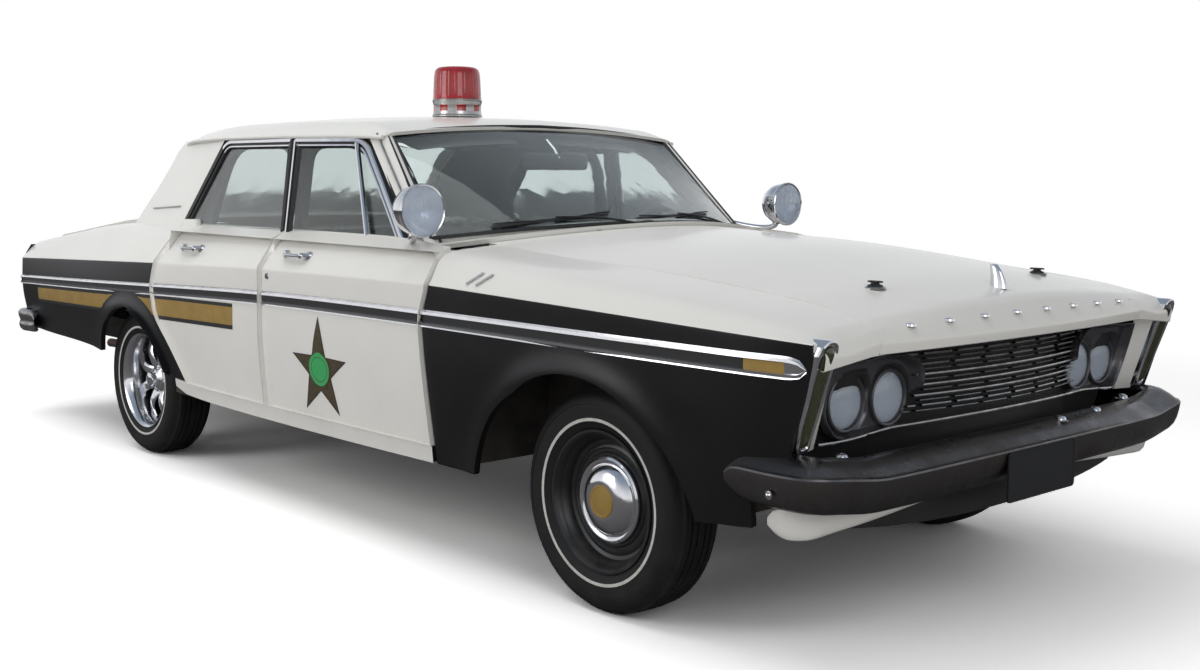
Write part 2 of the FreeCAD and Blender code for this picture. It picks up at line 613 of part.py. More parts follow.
# ---------------------------------------------------------------- underbody
sheet_floor = size("floor_sheet")
firewall_x = FRONT + size("firewall")
trunk_floor = size("trunk_floor")
floor = box(REAR + 420, firewall_x, -800, 800, floor_top - sheet_floor, floor_top)
tunnel = prism_x([(-150, floor_top - sheet_floor), (-110, floor_top + 130), (110, floor_top + 130),
                  (150, floor_top - sheet_floor)], REAR + 420, firewall_x)
tunnel_space = prism_x([(-125, floor_top - sheet_floor - 1), (-90, floor_top + 110), (90, floor_top + 110),
                        (125, floor_top - sheet_floor - 1)], REAR + 419, firewall_x + 1)
sill_half = size("sill_half")
sill = prism_x([(-sill_half, size("sill_bottom") + 10), (17 - sill_half, size("sill_bottom")),
                (-800, size("sill_bottom")), (-800, size("sill_top") - 2), (-sill_half, size("sill_top") - 2)],
               REAR + 470, door_front_x - 20)
firewall = box(firewall_x - 20, firewall_x, -760, 760, floor_top - sheet_floor, 925)
cowl_side = box(FRONT - 930, firewall_x, -cowl_half, -cowl_half + 20, floor_top, 939)
hinge_post = box(door_front_x + GAP, door_front_x + 60, -1000, -cowl_half + 10, floor_top, 930)
hinge_post = hinge_post.common(side_fill(door_front_x + 70, door_front_x, SKIN + 0.3))
hood_hinge = box(firewall_x - 36, firewall_x, -620, -560, 900, 1080).cut(hood_under)
apron = box(firewall_x, FRONT + size("support_x") - 0.3, -480, -460, 360, 880)
rail_bar = box(firewall_x - 100, FRONT + size("support_x") + 20, -460, -380, 330, 420)
shock_top = box(FRONT - 120, FRONT + 120, -460, -440, 360, 700)
rear_kick = prism_y([(REAR + 440, floor_top - sheet_floor), (REAR + 420, floor_top - sheet_floor), (REAR + 300, trunk_floor),
                     (REAR + 300, trunk_floor + 20), (REAR + 325, trunk_floor + 20), (REAR + 440, floor_top)], -560, 560)
rear_kick = rear_kick.cut(box(REAR + 200, REAR + 500, -125, 125, 200, 440))
trunk = box(REAR - 1300, REAR + 305, -560, 560, trunk_floor, trunk_floor + 20)
wheelhouse = box(REAR - 420, REAR + 480, -580, -560, 420, 800)
wheelhouse_top = box(REAR - 420, REAR + 480, -760, -560, 780, 800)
shelf = box(REAR - 360, REAR + 60, -690, 690, 930, 950)
rear_bulkhead = box(REAR + 40, REAR + 60, -560, 560, trunk_floor, 950)
rear_rail = box(REAR - 1290, REAR + 300, -560, -500, 400, trunk_floor)
underbody = floor.fuse(tunnel).cut(tunnel_space)
for piece in (firewall, rear_kick, trunk, shelf, rear_bulkhead):
    underbody = underbody.fuse(piece)
for piece in (sill, cowl_side, hinge_post, hood_hinge, apron, rail_bar, shock_top, wheelhouse, wheelhouse_top, rear_rail):
    underbody = underbody.fuse(piece).fuse(left(piece))
keep("underbody", underbody.removeSplitter())

# ---------------------------------------------------------------- front end
face_centre = FRONT + size("face_centre")
face_side = FRONT + size("face_side")
face_half = size("face_half")
face_top = size("face_top")
face_bottom = size("face_bottom")


def face_line(behind, z, half):
    """Three points of the bowed front at a height, a depth behind it; it leans back to its foot."""
    lean = size("face_rake") * (face_top - z) / (face_top - face_bottom)
    side_x = face_side - behind - lean
    return V(side_x, -half, z), V(face_centre - behind - lean * 0.5, 0, z), V(side_x, half, z)


def face_band(ahead, behind, z0, z1):
    """A curved slice that follows the bowed front, between two depths behind it."""
    wires = []
    for z in (z0, z1):
        outer = face_line(ahead, z, face_half)
        inner = face_line(behind, z, face_half)
        wires.append(Part.Wire([Part.Arc(*outer).toShape(), Part.makeLine(outer[2], inner[2]),
                                Part.Arc(*inner[::-1]).toShape(), Part.makeLine(inner[0], outer[0])]))
    return Part.makeLoft(wires, True, True)


surround = face_band(0, 40, face_bottom - 12, face_top).cut(
    box(0, nose_x + 50, -face_half + 15, face_half - 15, face_bottom + 8, face_top - 12))
support_x = FRONT + size("support_x")
support_front = support_x + size("support_thick")
support = box(support_x, support_front, -face_half - 49, face_half + 49, 440, 790).cut(box(0, nose_x, -420, 420, 500, 760))
front_panel = surround.fuse(support)
for piece in (box(support_x, face_side - 40, -face_half - 15, -face_half, face_bottom - 12, face_top - 20),
              box(support_x, face_side - 60, -face_half, -face_half + 15, face_bottom - 12, face_top)):
    front_panel = front_panel.fuse(piece).fuse(left(piece))
keep("front_panel", front_panel.removeSplitter())

bar_count = int(size("bar_count"))
pitch = (face_top - face_bottom - 40) / bar_count
grille = None
for i in range(bar_count):
    z = face_bottom + 24 + i * pitch
    bar = face_band(10, 24, z, z + size("bar_height"))
    grille = bar if grille is None else grille.fuse(bar)
for y in (-300, -180, -60, 60, 180, 300):
    grille = grille.fuse(face_band(22, 34, face_bottom + 8.3, face_top - 12.3).common(
        box(0, nose_x, y - 4, y + 4, 0, 1000)))
grille = grille.common(box(0, nose_x, -size("grille_half"), size("grille_half"), 0, 1000))
keep("grille", grille.removeSplitter())

bezel = face_band(4, 46, face_bottom + 8.3, face_top - 12.3).common(
    box(0, nose_x, -face_half + 15.3, -size("grille_half") - CLOSE, 0, 1000))
lamp_outer_y = face_half - size("lamp_edge")
lamps = []
for side, sign in (("right", "-"), ("left", "")):
    for place_name, shift in (("outer", ""), ("inner", " - lamp_pitch")):
        lamps.append(cylinder("headlamp_%s_%s" % (place_name, side), X_FRONT + " + support_x + support_thick + seat_gap",
                              sign + "(face_half - lamp_edge" + shift + ")", "lamp_height", "lamp_radius",
                              "lamp_x - support_x - support_thick - seat_gap", ALONG_X))
for y in (lamp_outer_y, lamp_outer_y - size("lamp_pitch")):
    bezel = bezel.cut(Part.makeCylinder(size("lamp_radius") + 1, 400, V(FRONT + 500, -y, size("lamp_height")), V(1, 0, 0)))
keep("headlamp_bezels", pair(bezel))
finished(joined("headlamps", lamps, "Part::Compound"))

pod_low = -at(STATIONS, FRONT + 709)["y_wide"] + 4
pod_high = -at(STATIONS, FRONT + 799)["y_crease"] + 4
pod_inner = -face_half - 64
pod = loft([[V(FRONT + 640, pod_low - 13, 570), V(FRONT + 709, pod_low, 567), V(FRONT + 709, pod_inner, 567),
             V(FRONT + 640, pod_inner, 570)],
            [V(FRONT + 730, pod_high - 9, 838), V(FRONT + 799, pod_high, 838), V(FRONT + 799, pod_inner - 10, 838),
             V(FRONT + 730, pod_inner - 10, 838)]])
keep("parking_lamps", pair(pod.cut(fender)))


# Bumpers: a plan line from the side to the middle, and a section of height and set-back.
def bumper_band(nose, plan, levels, depth, sign):
    """A bowed bar, its face set back at each level as its section asks; sign turns it to the tail."""
    rings = []
    for z, back in levels:
        half = [(nose - sign * (dx + back), y - (back if y >= plan[1][1] else 0)) for dx, y in plan]
        outer = [V(x, -y, z) for x, y in half] + [V(x, y, z) for x, y in half[-2::-1]]
        inner = []
        for i, p in enumerate(outer):
            inward = 28 - back if abs(p.y) > half[2][1] + 1 else 0
            ahead = 0 if i in (0, len(outer) - 1) else depth - back
            inner.append(V(p.x - sign * ahead, p.y + (inward if p.y < 0 else -inward), z))
        rings.append(outer + inner[::-1])
    return loft(rings)


bumper_nose = nose_x - size("plate_thick") - CLOSE
bumper_low, bumper_high = size("bumper_bottom"), size("bumper_top")
BUMPER_PLAN = [(320, size("bumper_side_y")), (60, size("bumper_side_y")), (20, 880), (0, 0)]
bumper_levels = [(bumper_low, 22), (bumper_low + 15, 10), (bumper_low + 45, 0), (bumper_high - 20, 0),
                 (bumper_high - 4, 10), (bumper_high, 22)]
bumper = bumper_band(bumper_nose, BUMPER_PLAN, bumper_levels, size("bumper_depth"), 1)
bumper_arm = box(support_front + CLOSE, nose_x - 60, -455, -400, 445, 500)
keep("front_bumper", bumper.fuse(bumper_arm).fuse(left(bumper_arm)).removeSplitter())
valance_low = size("valance_bottom")
VALANCE_PLAN = [(180, size("valance_side_y")), (70, size("valance_side_y") - 5), (30, 820), (0, 0)]
valance_levels = [(valance_low, 14), (valance_low + 20, 2), (bumper_low - 30, 0), (bumper_low - CLOSE, 4)]
keep("front_valance", bumper_band(nose_x - 70, VALANCE_PLAN, valance_levels, size("valance_depth"), 1))
finished(block("front_plate", X_FRONT + " + front_overhang - plate_thick", "-plate_half", "plate_bottom",
               "plate_thick", "2 * plate_half", "plate_top - plate_bottom"))

# ---------------------------------------------------------------- rear end
tail_fill = side_fill(tail_face + 30, tail_face, SKIN + CLOSE)
tail = box(tail_face, tail_face + 20, -900, 0, 450, 640).common(tail_fill)
tail = tail.fuse(left(tail))
for side in (-1, 1):
    y0, y1 = sorted((side * 655, side * 765))
    tail = tail.fuse(box(tail_face, tail_face + 20, y0, y1, 600, 850))
keep("tail_panel", tail.removeSplitter())
tail_lamps = [cylinder("tail_lamp_" + side, X_REAR + " - tail_face - tail_lamp_depth", sign + "tail_lamp_y",
                       "tail_lamp_height", "tail_lamp_radius", "tail_lamp_depth - seat_gap", ALONG_X)
              for side, sign in (("right", "-"), ("left", ""))]
finished(joined("tail_lamps", tail_lamps, "Part::Compound"))
rear_low, rear_high = size("rear_bumper_bottom"), size("rear_bumper_top")
REAR_BUMPER_PLAN = [(260, size("rear_bumper_side_y")), (60, size("rear_bumper_side_y")), (20, 840), (0, 0)]
rear_levels = [(rear_low, 16), (rear_low + 14, 5), (rear_low + 40, 0), (rear_high - 20, 0), (rear_high, 12)]
rear_bumper = bumper_band(tail_x, REAR_BUMPER_PLAN, rear_levels, size("rear_bumper_depth"), -1)
bumper_pad = box(tail_x + 25, tail_face - CLOSE, -360, -300, 450, 510)
keep("rear_bumper", rear_bumper.fuse(bumper_pad).fuse(left(bumper_pad)).removeSplitter())

# ---------------------------------------------------------------- engine and underside
X_FIREWALL = X_FRONT + " + firewall"
finished(joined("engine", [
    block("engine_block", X_FIREWALL + " + 60", "-engine_half", "engine_bottom", "engine_length", "2 * engine_half",
          "engine_top - engine_bottom"),
    cylinder("air_cleaner", X_FIREWALL + " + 60 + engine_length / 2", "0", "engine_top", "cleaner_radius",
             "cleaner_height")]))
finished(block("fuel_tank", X_REAR + " + tank_ahead - tank_length", "-tank_half", "tank_bottom", "tank_length",
               "2 * tank_half", "trunk_floor - seat_gap - tank_bottom"))
PIPE_PATH = [(FRONT - 300, -300, 260), (REAR + 480, -300, 260), (REAR + 300, -400, 330), (REAR + 160, -430, 432),
             (REAR - 180, -430, 432), (REAR - 420, -430, 360), (REAR - 1290, -430, 330)]
pipe_points = [V(*point) for point in PIPE_PATH]
exhaust = box(REAR + 900, REAR + 1500, -380, -240, 200, floor_top - sheet_floor - CLOSE)
for start, end in zip(pipe_points, pipe_points[1:]):
    exhaust = exhaust.fuse(rod(start, end, 22)).fuse(Part.makeSphere(22, end))
keep("exhaust", exhaust.cut(box(REAR - 1400, REAR - 1290, -600, 0, 200, 500)).removeSplitter())

# ---------------------------------------------------------------- suspension
kingpin_y = size("kingpin_y")
cross = box(FRONT - 100, FRONT + 100, -459, 459, 220, 329.7)
for side in (-1, 1):
    for y_inner, z0, z1 in ((380, 200, 225), (480.3, 430, 450)):
        arm_plan = [(FRONT - 60, side * y_inner), (FRONT + 60, side * y_inner), (FRONT + 22, side * (kingpin_y - 20)),
                    (FRONT + 22, side * (kingpin_y + 16)), (FRONT - 22, side * (kingpin_y + 16)),
                    (FRONT - 22, side * (kingpin_y - 20))]
        cross = cross.fuse(prism_z(arm_plan, z0, z1))
    pin_low = Part.makeCylinder(12, 40, V(FRONT, side * kingpin_y, 220), V(0, 0, 1))
    pin_high = Part.makeCylinder(12, 40, V(FRONT, side * kingpin_y, 395), V(0, 0, 1))
    cross = cross.fuse(pin_low).fuse(pin_high)
keep("front_suspension", cross.removeSplitter())

for side, sign in (("right", "-"), ("left", "")):
    out = ALONG_Y if sign == "" else FreeCAD.Rotation(V(1, 0, 0), 90)
    upright = block("upright_" + side, X_FRONT + " - upright_half", sign + "kingpin_y - upright_half", "upright_bottom",
                    "2 * upright_half", "2 * upright_half", "upright_height")
    stub = cylinder("stub_" + side, X_FRONT, sign + "(kingpin_y + upright_half - 4)", "hub_height", "stub_radius",
                    "front_wheel_y + tyre_width / 2 - front_disc_in - kingpin_y - upright_half + 4 - seat_gap", out)
    drum = cylinder("drum_" + side, X_FRONT, sign + "(kingpin_y + 40)", "hub_height", "drum_radius", "drum_width", out)
    whole = joined("knuckle_blank_" + side, [upright, stub, drum])
    pin_hole = cylinder("pin_hole_" + side, X_FRONT, sign + "kingpin_y", "upright_bottom - upright_half",
                        "pin_radius + seat_gap", "upright_height + 2 * upright_half")
    finished(less("knuckle_" + side, whole, pin_hole))

axle_pieces = [
    cylinder("axle_tube", X_REAR, "-(rear_wheel_y + tyre_width / 2 - rear_disc_in - seat_gap)", "hub_height",
             "axle_radius", "2 * (rear_wheel_y + tyre_width / 2 - rear_disc_in - seat_gap)", ALONG_Y)]
diff = doc.addObject("Part::Sphere", "differential")
bind(diff, Radius="diff_radius")
axle_pieces.append(place(diff, X_REAR, "0", "hub_height"))
shaft_start, shaft_end = V(REAR + 100, 0, HUB), V(firewall_x - 60, 0, 370)
shaft_turn = FreeCAD.Rotation(V(0, 0, 1), shaft_end - shaft_start)
shaft = cylinder("drive_shaft", X_REAR + " + 100", "0", "hub_height", "axle_radius", "wheelbase + firewall - 160",
                 shaft_turn)
axle_pieces.append(shaft)
for side, shift in (("right", "-spring_y - spring_width"), ("left", "spring_y")):
    axle_pieces += [
        block("spring_" + side, X_REAR + " - spring_half", shift, "hub_height - 60", "2 * spring_half", "spring_width",
              "20"),
        block("spring_pad_" + side, X_REAR + " - 60", shift, "hub_height - 60", "120", "spring_width", "60"),
        block("rear_hanger_" + side, X_REAR + " - spring_half", shift, "hub_height - 40", "40", "spring_width",
              "120 - seat_gap"),
        block("front_hanger_" + side, X_REAR + " + spring_half - 40", shift, "hub_height - 40", "40", "spring_width",
              "floor_top - floor_sheet - seat_gap - hub_height + 40")]
finished(joined("rear_axle", axle_pieces))


# ---------------------------------------------------------------- wheels
# Half sections of (radius, distance out from the middle of the tyre)
EDGE = "tyre_width / 2"
TYRE_SECTION = [
    ("tyre_radius", "tread_edge - " + EDGE), ("tyre_radius", EDGE + " - tread_edge"),
    ("tyre_radius - shoulder_drop", EDGE + " - shoulder_edge"), ("tyre_radius - sidewall_drop", EDGE),
    ("rim_radius + seat_gap", EDGE + " - bead_in"), ("rim_radius + seat_gap", "bead_in - " + EDGE),
    ("tyre_radius - sidewall_drop", "-" + EDGE), ("tyre_radius - shoulder_drop", "shoulder_edge - " + EDGE)]
RIM_SECTION = [
    ("rim_radius - rim_wall", "rim_in - " + EDGE), ("rim_radius", "rim_in - " + EDGE),
    ("rim_radius", EDGE + " - rim_in"), ("rim_radius - rim_wall", EDGE + " - rim_in")]
FRONT_DISC = [
    ("rim_radius - rim_wall", EDGE + " - front_disc_in + 14"), ("cap_radius + 8", EDGE + " - front_disc_in + 10"),
    ("cap_radius", EDGE + " - front_disc_in + 10"), ("cap_radius", EDGE + " - front_disc_in + 26"),
    ("cap_radius - 22", EDGE + " - front_disc_in + 26"), ("cap_radius / 2", EDGE + " - cap_in - 4"),
    ("cap_radius / 2 - 12", EDGE + " - cap_in"), ("0", EDGE + " - cap_in"), ("0", EDGE + " - front_disc_in"),
    ("rim_radius - rim_wall", EDGE + " - front_disc_in")]
REAR_DISC = [
    ("rim_radius - rim_wall", EDGE + " - rear_disc_in + 18"), ("hub_radius + 10", EDGE + " - rear_disc_in + 26"),
    ("hub_radius", EDGE + " - hub_in - 4"), ("0", EDGE + " - hub_in"), ("0", EDGE + " - rear_disc_in"),
    ("rim_radius - rim_wall", EDGE + " - rear_disc_in")]
for end, axle, disc in (("front", X_FRONT, FRONT_DISC), ("rear", X_REAR, REAR_DISC)):
    for side, sign in (("right", "-"), ("left", "")):
        for kind, section in (("tyre", TYRE_SECTION), ("wheel", RIM_SECTION + disc)):
            points = [(radius, sign + "(" + out + ")") for radius, out in section]
            finished(turned("%s_%s_%s" % (end, kind, side), points, axle, sign + end + "_wheel_y", "hub_height"))


# ---------------------------------------------------------------- cabin
TUNNEL_SLOT = [("-2 * front_seat_depth", "floor_top - 10"), ("20", "floor_top - 10"), ("20", "tunnel_top"),
               ("-2 * front_seat_depth", "tunnel_top")]
FRONT_SEAT = [
    ("0", "floor_top + seat_gap"), ("0", "seat_base - 15"), ("-12", "seat_base"), ("-444", "seat_base"),
    ("-520", "seat_top - 12"), ("-532", "seat_top"), ("-520 - seat_back_thick", "seat_top"),
    ("-560", "seat_base - 60"), ("-front_seat_depth", "seat_base - 80"), ("-front_seat_depth", "floor_top + seat_gap")]
REAR_SEAT = [
    ("0", "floor_top + seat_gap"), ("0", "seat_base - 15"), ("-12", "seat_base"), ("-440", "seat_base"),
    ("-490", "seat_top - 12"), ("-502", "seat_top"), ("-490 - seat_back_thick", "seat_top"),
    ("-560", "seat_base - 60"), ("-rear_seat_depth", "trunk_floor + 20 + seat_gap"),
    ("-374", "trunk_floor + 20 + seat_gap"), ("-258", "floor_top + seat_gap")]
finished(padded("front_seat", FRONT_SEAT, "2 * front_seat_half", X_FRONT + " + front_seat_x", TUNNEL_SLOT,
                "2 * tunnel_half"))
finished(padded("rear_seat", REAR_SEAT, "2 * rear_seat_half", X_REAR + " + rear_seat_x", TUNNEL_SLOT,
                "2 * tunnel_half"))
DASH = [
    ("-40 - seat_gap", "dash_bottom"), ("-40 - seat_gap", "dash_top"), ("30 - dash_depth", "dash_top"),
    ("-dash_depth", "dash_top - 25"), ("15 - dash_depth", "dash_bottom + 40"), ("40 - dash_depth", "dash_bottom")]
dashboard = finished(padded("dashboard", DASH, "2 * dash_half", X_FIREWALL))

wheel_lean = FreeCAD.Rotation(V(0, 0, 1), V(-270, 0, 105))
X_RIM = X_FIREWALL + " - 420"
rim = doc.addObject("Part::Torus", "steering_rim")
bind(rim, Radius1="steering_radius", Radius2="steering_tube")
steering = [place(rim, X_RIM, "steering_y", "steering_height", wheel_lean),
            cylinder("steering_column", X_RIM, "steering_y", "steering_height", "column_radius", "column_length",
                     FreeCAD.Rotation(V(0, 0, 1), V(270, 0, -105)))]
for number, angle in enumerate((0, 120, 240)):
    reach = wheel_lean.multVec(V(math.cos(math.radians(angle)), math.sin(math.radians(angle)), 0))
    steering.append(cylinder("steering_spoke_%d" % number, X_RIM, "steering_y", "steering_height", "8",
                             "steering_radius", FreeCAD.Rotation(V(0, 0, 1), reach)))
finished(less("steering_wheel", joined("steering_blank", steering), dashboard))

# ---------------------------------------------------------------- beacon and spotlights
beacon_place = (X_FRONT + " + beacon_x", "0")
beacon_base = cylinder("beacon_base", *beacon_place, "beacon_seat", "beacon_radius + beacon_flange",
                       "beacon_base_height")
dome = doc.addObject("Part::Cone", "beacon_dome")
bind(dome, Radius1="beacon_radius", Radius2="beacon_radius - beacon_taper", Height="beacon_dome_height - seat_gap")
place(dome, *beacon_place, "beacon_seat + beacon_base_height")
finished(joined("beacon", [beacon_base, dome]))
spot_face = V(FRONT - 784, -872, 1108)
spot_head = Part.makeCone(30, 80, 62, spot_face + V(-94, 0, 0), V(1, 0, 0)).fuse(
    Part.makeCylinder(83, 32, spot_face + V(-32, 0, 0), V(1, 0, 0)))
spot_stem = rod(V(FRONT - 842, -873, 1062), V(FRONT - 842, -873, 1018), 10)
spot_bracket = rod(V(FRONT - 842, -873, 1027), V(FRONT - 978, -762, 1032), 9)
keep("spotlights", pair(spot_head.fuse(spot_stem).fuse(spot_bracket).cut(roof).cut(cowl)))

# ---------------------------------------------------------------- checks and files
doc.recompute()
for item in doc.Objects:
    if "Invalid" in item.State or "Error" in item.State:
        raise RuntimeError("failed: " + item.Label)
for node in nodes:
    if node.Shape.isNull() or not node.Shape.isValid():
        raise RuntimeError("bad shape: " + node.Label)
    print(node.Label, len(node.Shape.Solids), round(node.Shape.Volume / 1e6, 2))

os.makedirs("parts", exist_ok=True)
for node in nodes:
    node.Shape.exportStep("parts/" + node.Label + ".step")
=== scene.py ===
"""Looks of an early-1960s full-size four-door patrol sedan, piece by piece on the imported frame.

Metres, +X forward, +Y to the car's left, +Z up, floor at z = 0. A section is one piece or like pieces.
"""

import bpy
import numpy as np
from mathutils import Matrix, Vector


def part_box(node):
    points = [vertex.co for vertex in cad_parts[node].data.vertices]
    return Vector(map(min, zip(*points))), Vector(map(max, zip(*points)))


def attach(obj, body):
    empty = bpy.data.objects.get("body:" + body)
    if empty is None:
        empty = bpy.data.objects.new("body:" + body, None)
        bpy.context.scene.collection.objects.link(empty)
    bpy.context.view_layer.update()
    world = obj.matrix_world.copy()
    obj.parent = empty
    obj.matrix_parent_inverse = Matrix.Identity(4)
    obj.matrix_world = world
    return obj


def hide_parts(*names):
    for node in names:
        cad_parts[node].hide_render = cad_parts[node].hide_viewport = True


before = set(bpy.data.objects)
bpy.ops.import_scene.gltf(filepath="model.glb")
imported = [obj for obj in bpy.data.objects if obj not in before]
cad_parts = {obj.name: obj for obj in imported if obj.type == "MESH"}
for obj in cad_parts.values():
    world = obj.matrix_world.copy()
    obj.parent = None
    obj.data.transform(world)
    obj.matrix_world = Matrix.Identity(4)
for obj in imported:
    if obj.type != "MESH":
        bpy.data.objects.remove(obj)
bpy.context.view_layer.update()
SIDES = (("right", -1), ("left", 1))
front = sum(corner[0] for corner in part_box("front_wheel_right")) / 2
rear = sum(corner[0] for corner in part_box("rear_wheel_right")) / 2
hub = sum(corner[2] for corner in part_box("rear_wheel_right")) / 2

# ---------------------------------------------------------------- Paint
# Two-tone enamel, warm white over black, sprayed on primed steel and waxed. It has a
# faint orange peel and road dust low on the sides.


def nodes_of(material):
    """The node tree of a new material, with its shader."""
    material.use_nodes = True
    tree = material.node_tree
    return tree, tree.nodes["Principled BSDF"]


def new_group(name, inputs, outputs):
    """An empty shader group with named inputs (name, kind, value) and outputs (name, kind)."""
    group = bpy.data.node_groups.new(name, "ShaderNodeTree")
    for label, kind, value in inputs:
        socket = group.interface.new_socket(label, in_out="INPUT", socket_type="NodeSocket" + kind)
        socket.default_value = value
    for label, kind in outputs:
        group.interface.new_socket(label, in_out="OUTPUT", socket_type="NodeSocket" + kind)
    return group, group.nodes.new("NodeGroupInput"), group.nodes.new("NodeGroupOutput")


def add(tree, kind, **settings):
    """Adds a node; a setting names a property, or an input when it starts with in_."""
    node = tree.nodes.new("ShaderNode" + kind)
    for key, value in settings.items():
        if key.startswith("in_"):
            node.inputs[key[3:].replace("_", " ")].default_value = value
        else:
            setattr(node, key, value)
    return node


def join(tree, *links):
    """Links sockets: each link is a node, its output, the next node and its input."""
    for start, out, end, into in links:
        tree.links.new(start.outputs[out], end.inputs[into])


# Shared effect: grime. Noise in two sizes gives a patchy mask, stronger near the ground,
# that mixes a dust colour into the finish and roughens it.
grime, g_in, g_out = new_group("grime", (("Color", "Color", (0.8, 0.8, 0.8, 1)),
                                         ("Dust", "Color", (0.2, 0.18, 0.15, 1)), ("Amount", "Float", 0.3),
                                         ("Scale", "Float", 6.0), ("Rough", "Float", 0.3),
                                         ("Rougher", "Float", 0.2), ("Fade height", "Float", 0.7)),
                               (("Color", "Color"), ("Roughness", "Float"), ("Mask", "Float")))
place = add(grime, "TexCoord")
broad = add(grime, "TexNoise", in_Detail=6.0, in_Roughness=0.65)
height = add(grime, "SeparateXYZ")
fade = add(grime, "MapRange", in_From_Min=0.0, in_To_Min=1.0, in_To_Max=0.25)
patch = add(grime, "MapRange", in_From_Min=0.35, in_From_Max=0.75)
low_patch = add(grime, "Math", operation="MULTIPLY")
strength = add(grime, "Math", operation="MULTIPLY")
mixed = add(grime, "Mix", data_type="RGBA")
rough_more = add(grime, "Math", operation="MULTIPLY_ADD")
join(grime, (place, "Object", broad, "Vector"), (g_in, "Scale", broad, "Scale"),
     (place, "Object", height, "Vector"), (height, "Z", fade, "Value"), (g_in, "Fade height", fade, "From Max"),
     (broad, "Fac", patch, "Value"), (patch, "Result", low_patch, 0), (fade, "Result", low_patch, 1),
     (low_patch, "Value", strength, 0), (g_in, "Amount", strength, 1), (strength, "Value", mixed, "Factor"),
     (g_in, "Color", mixed, 6), (g_in, "Dust", mixed, 7), (low_patch, "Value", rough_more, 0),
     (g_in, "Rougher", rough_more, 1), (g_in, "Rough", rough_more, 2), (mixed, 2, g_out, "Color"),
     (rough_more, "Value", g_out, "Roughness"), (strength, "Value", g_out, "Mask"))


def finish(name, color, rough, dust=(0.2, 0.18, 0.15), amount=0.15, scale=6.0, rougher=0.15, fade_height=0.7,
           bump=0.0, bump_scale=300.0, **shader):
    """A material with grime, a fine bump, and plain values on the shader's own sockets."""
    material = bpy.data.materials.new(name)
    tree, bsdf = nodes_of(material)
    dirt = tree.nodes.new("ShaderNodeGroup")
    dirt.node_tree = grime
    for key, value in (("Color", (*color, 1)), ("Dust", (*dust, 1)), ("Amount", amount), ("Scale", scale),
                       ("Rough", rough), ("Rougher", rougher), ("Fade height", fade_height)):
        dirt.inputs[key].default_value = value
    join(tree, (dirt, "Color", bsdf, "Base Color"), (dirt, "Roughness", bsdf, "Roughness"))
    if bump:
        coord = add(tree, "TexCoord")
        grain = add(tree, "TexNoise", in_Scale=bump_scale, in_Detail=3.0)
        relief = add(tree, "Bump", in_Strength=bump, in_Distance=0.001)
        join(tree, (coord, "Object", grain, "Vector"), (grain, "Fac", relief, "Height"),
             (relief, "Normal", bsdf, "Normal"))
    for key, value in shader.items():
        bsdf.inputs[key.replace("_", " ")].default_value = value
    return material


white_paint = finish("white_paint", (0.80, 0.79, 0.755), 0.30, dust=(0.42, 0.39, 0.34), amount=0.35, scale=2.2,
                     bump=0.04, bump_scale=180.0, Coat_Weight=0.5, Coat_Roughness=0.12, Specular_IOR_Level=0.45)
black_paint = finish("black_paint", (0.004, 0.004, 0.005), 0.30, dust=(0.03, 0.028, 0.026), amount=0.3,
                     scale=3.0, bump=0.04, bump_scale=180.0, Specular_IOR_Level=0.35)

# ---------------------------------------------------------------- Body lines
# The pressed side of the body is one form from nose to tail. Half sections, tail first:
# x from an axle, then y, z of the bottom edge, widest line, trim line, crease and
# shoulder, and z of the hood's seam and of the middle of the car.
SEAM_Y = 0.655
STATIONS = np.array([
    (rear - 1.330, .820, .445, .852, .600, .856, .682, .850, .790, .772, .866, .880, .893),
    (rear - 1.054, .845, .440, .880, .590, .880, .693, .872, .802, .785, .900, .914, .926),
    (rear - 0.354, .880, .435, .915, .590, .916, .719, .905, .829, .800, .985, 1.000, 1.012),
    (rear + 0.496, .905, .330, .932, .600, .930, .750, .924, .860, .835, 1.005, 1.010, 1.030),
    (rear + 1.241, .915, .325, .940, .620, .936, .777, .935, .881, .845, 1.008, 1.012, 1.060),
    (front - 1.000, .914, .328, .940, .620, .936, .783, .935, .888, .850, 1.008, 1.012, 1.060),
    (front - 0.690, .912, .331, .940, .620, .936, .785, .935, .890, .868, .984, 1.000, 1.055),
    (front - 0.400, .908, .331, .938, .620, .935, .785, .934, .882, .862, .960, .975, 1.042),
    (front + 0.100, .905, .331, .935, .620, .930, .782, .930, .868, .850, .932, .955, 1.023),
    (front + 0.600, .880, .370, .905, .600, .906, .778, .903, .848, .830, .888, .908, .952),
    (front + 0.797, .850, .400, .868, .600, .875, .775, .880, .839, .815, .850, .862, .900),
    (front + 0.860, .842, .400, .862, .600, .868, .774, .872, .834, .800, .838, .846, .886)])
station_x = STATIONS[:, 0]
line_y = np.column_stack([STATIONS[:, (1, 3, 5, 7, 9)], np.full(len(STATIONS), SEAM_Y),
                          np.zeros(len(STATIONS))])
line_z = STATIONS[:, (2, 4, 6, 8, 10, 11, 12)]
LINE_EASE = np.array([1e-3, 0.45, 0.20, 0.05, 0.38, 0.40, 1e-3])  # how far each line's corner is rounded
CREASE = 3  # line number where the black paint ends


def eased(x, knots, values, share=0.9):
    """Straight runs between knots with rounded corners: inside the ease, each corner adds
    its change of slope times the square of what is left of the ease, over four eases."""
    x = np.asarray(x, float)[..., None]
    runs = np.diff(knots)
    bend = np.diff(np.diff(values) / runs)
    ease = share / 2 * np.minimum(runs[:-1], runs[1:])
    left = np.clip(ease - abs(x - knots[1:-1]), 0, None)
    return np.interp(x[..., 0], knots, values) + (bend * left**2 / (4 * ease)).sum(-1)


def body_lines(x):
    """y and z of the seven lines at x, each eased along the car."""
    return (np.stack([eased(x, station_x, column) for column in line_y.T], -1),
            np.stack([eased(x, station_x, column) for column in line_z.T], -1))


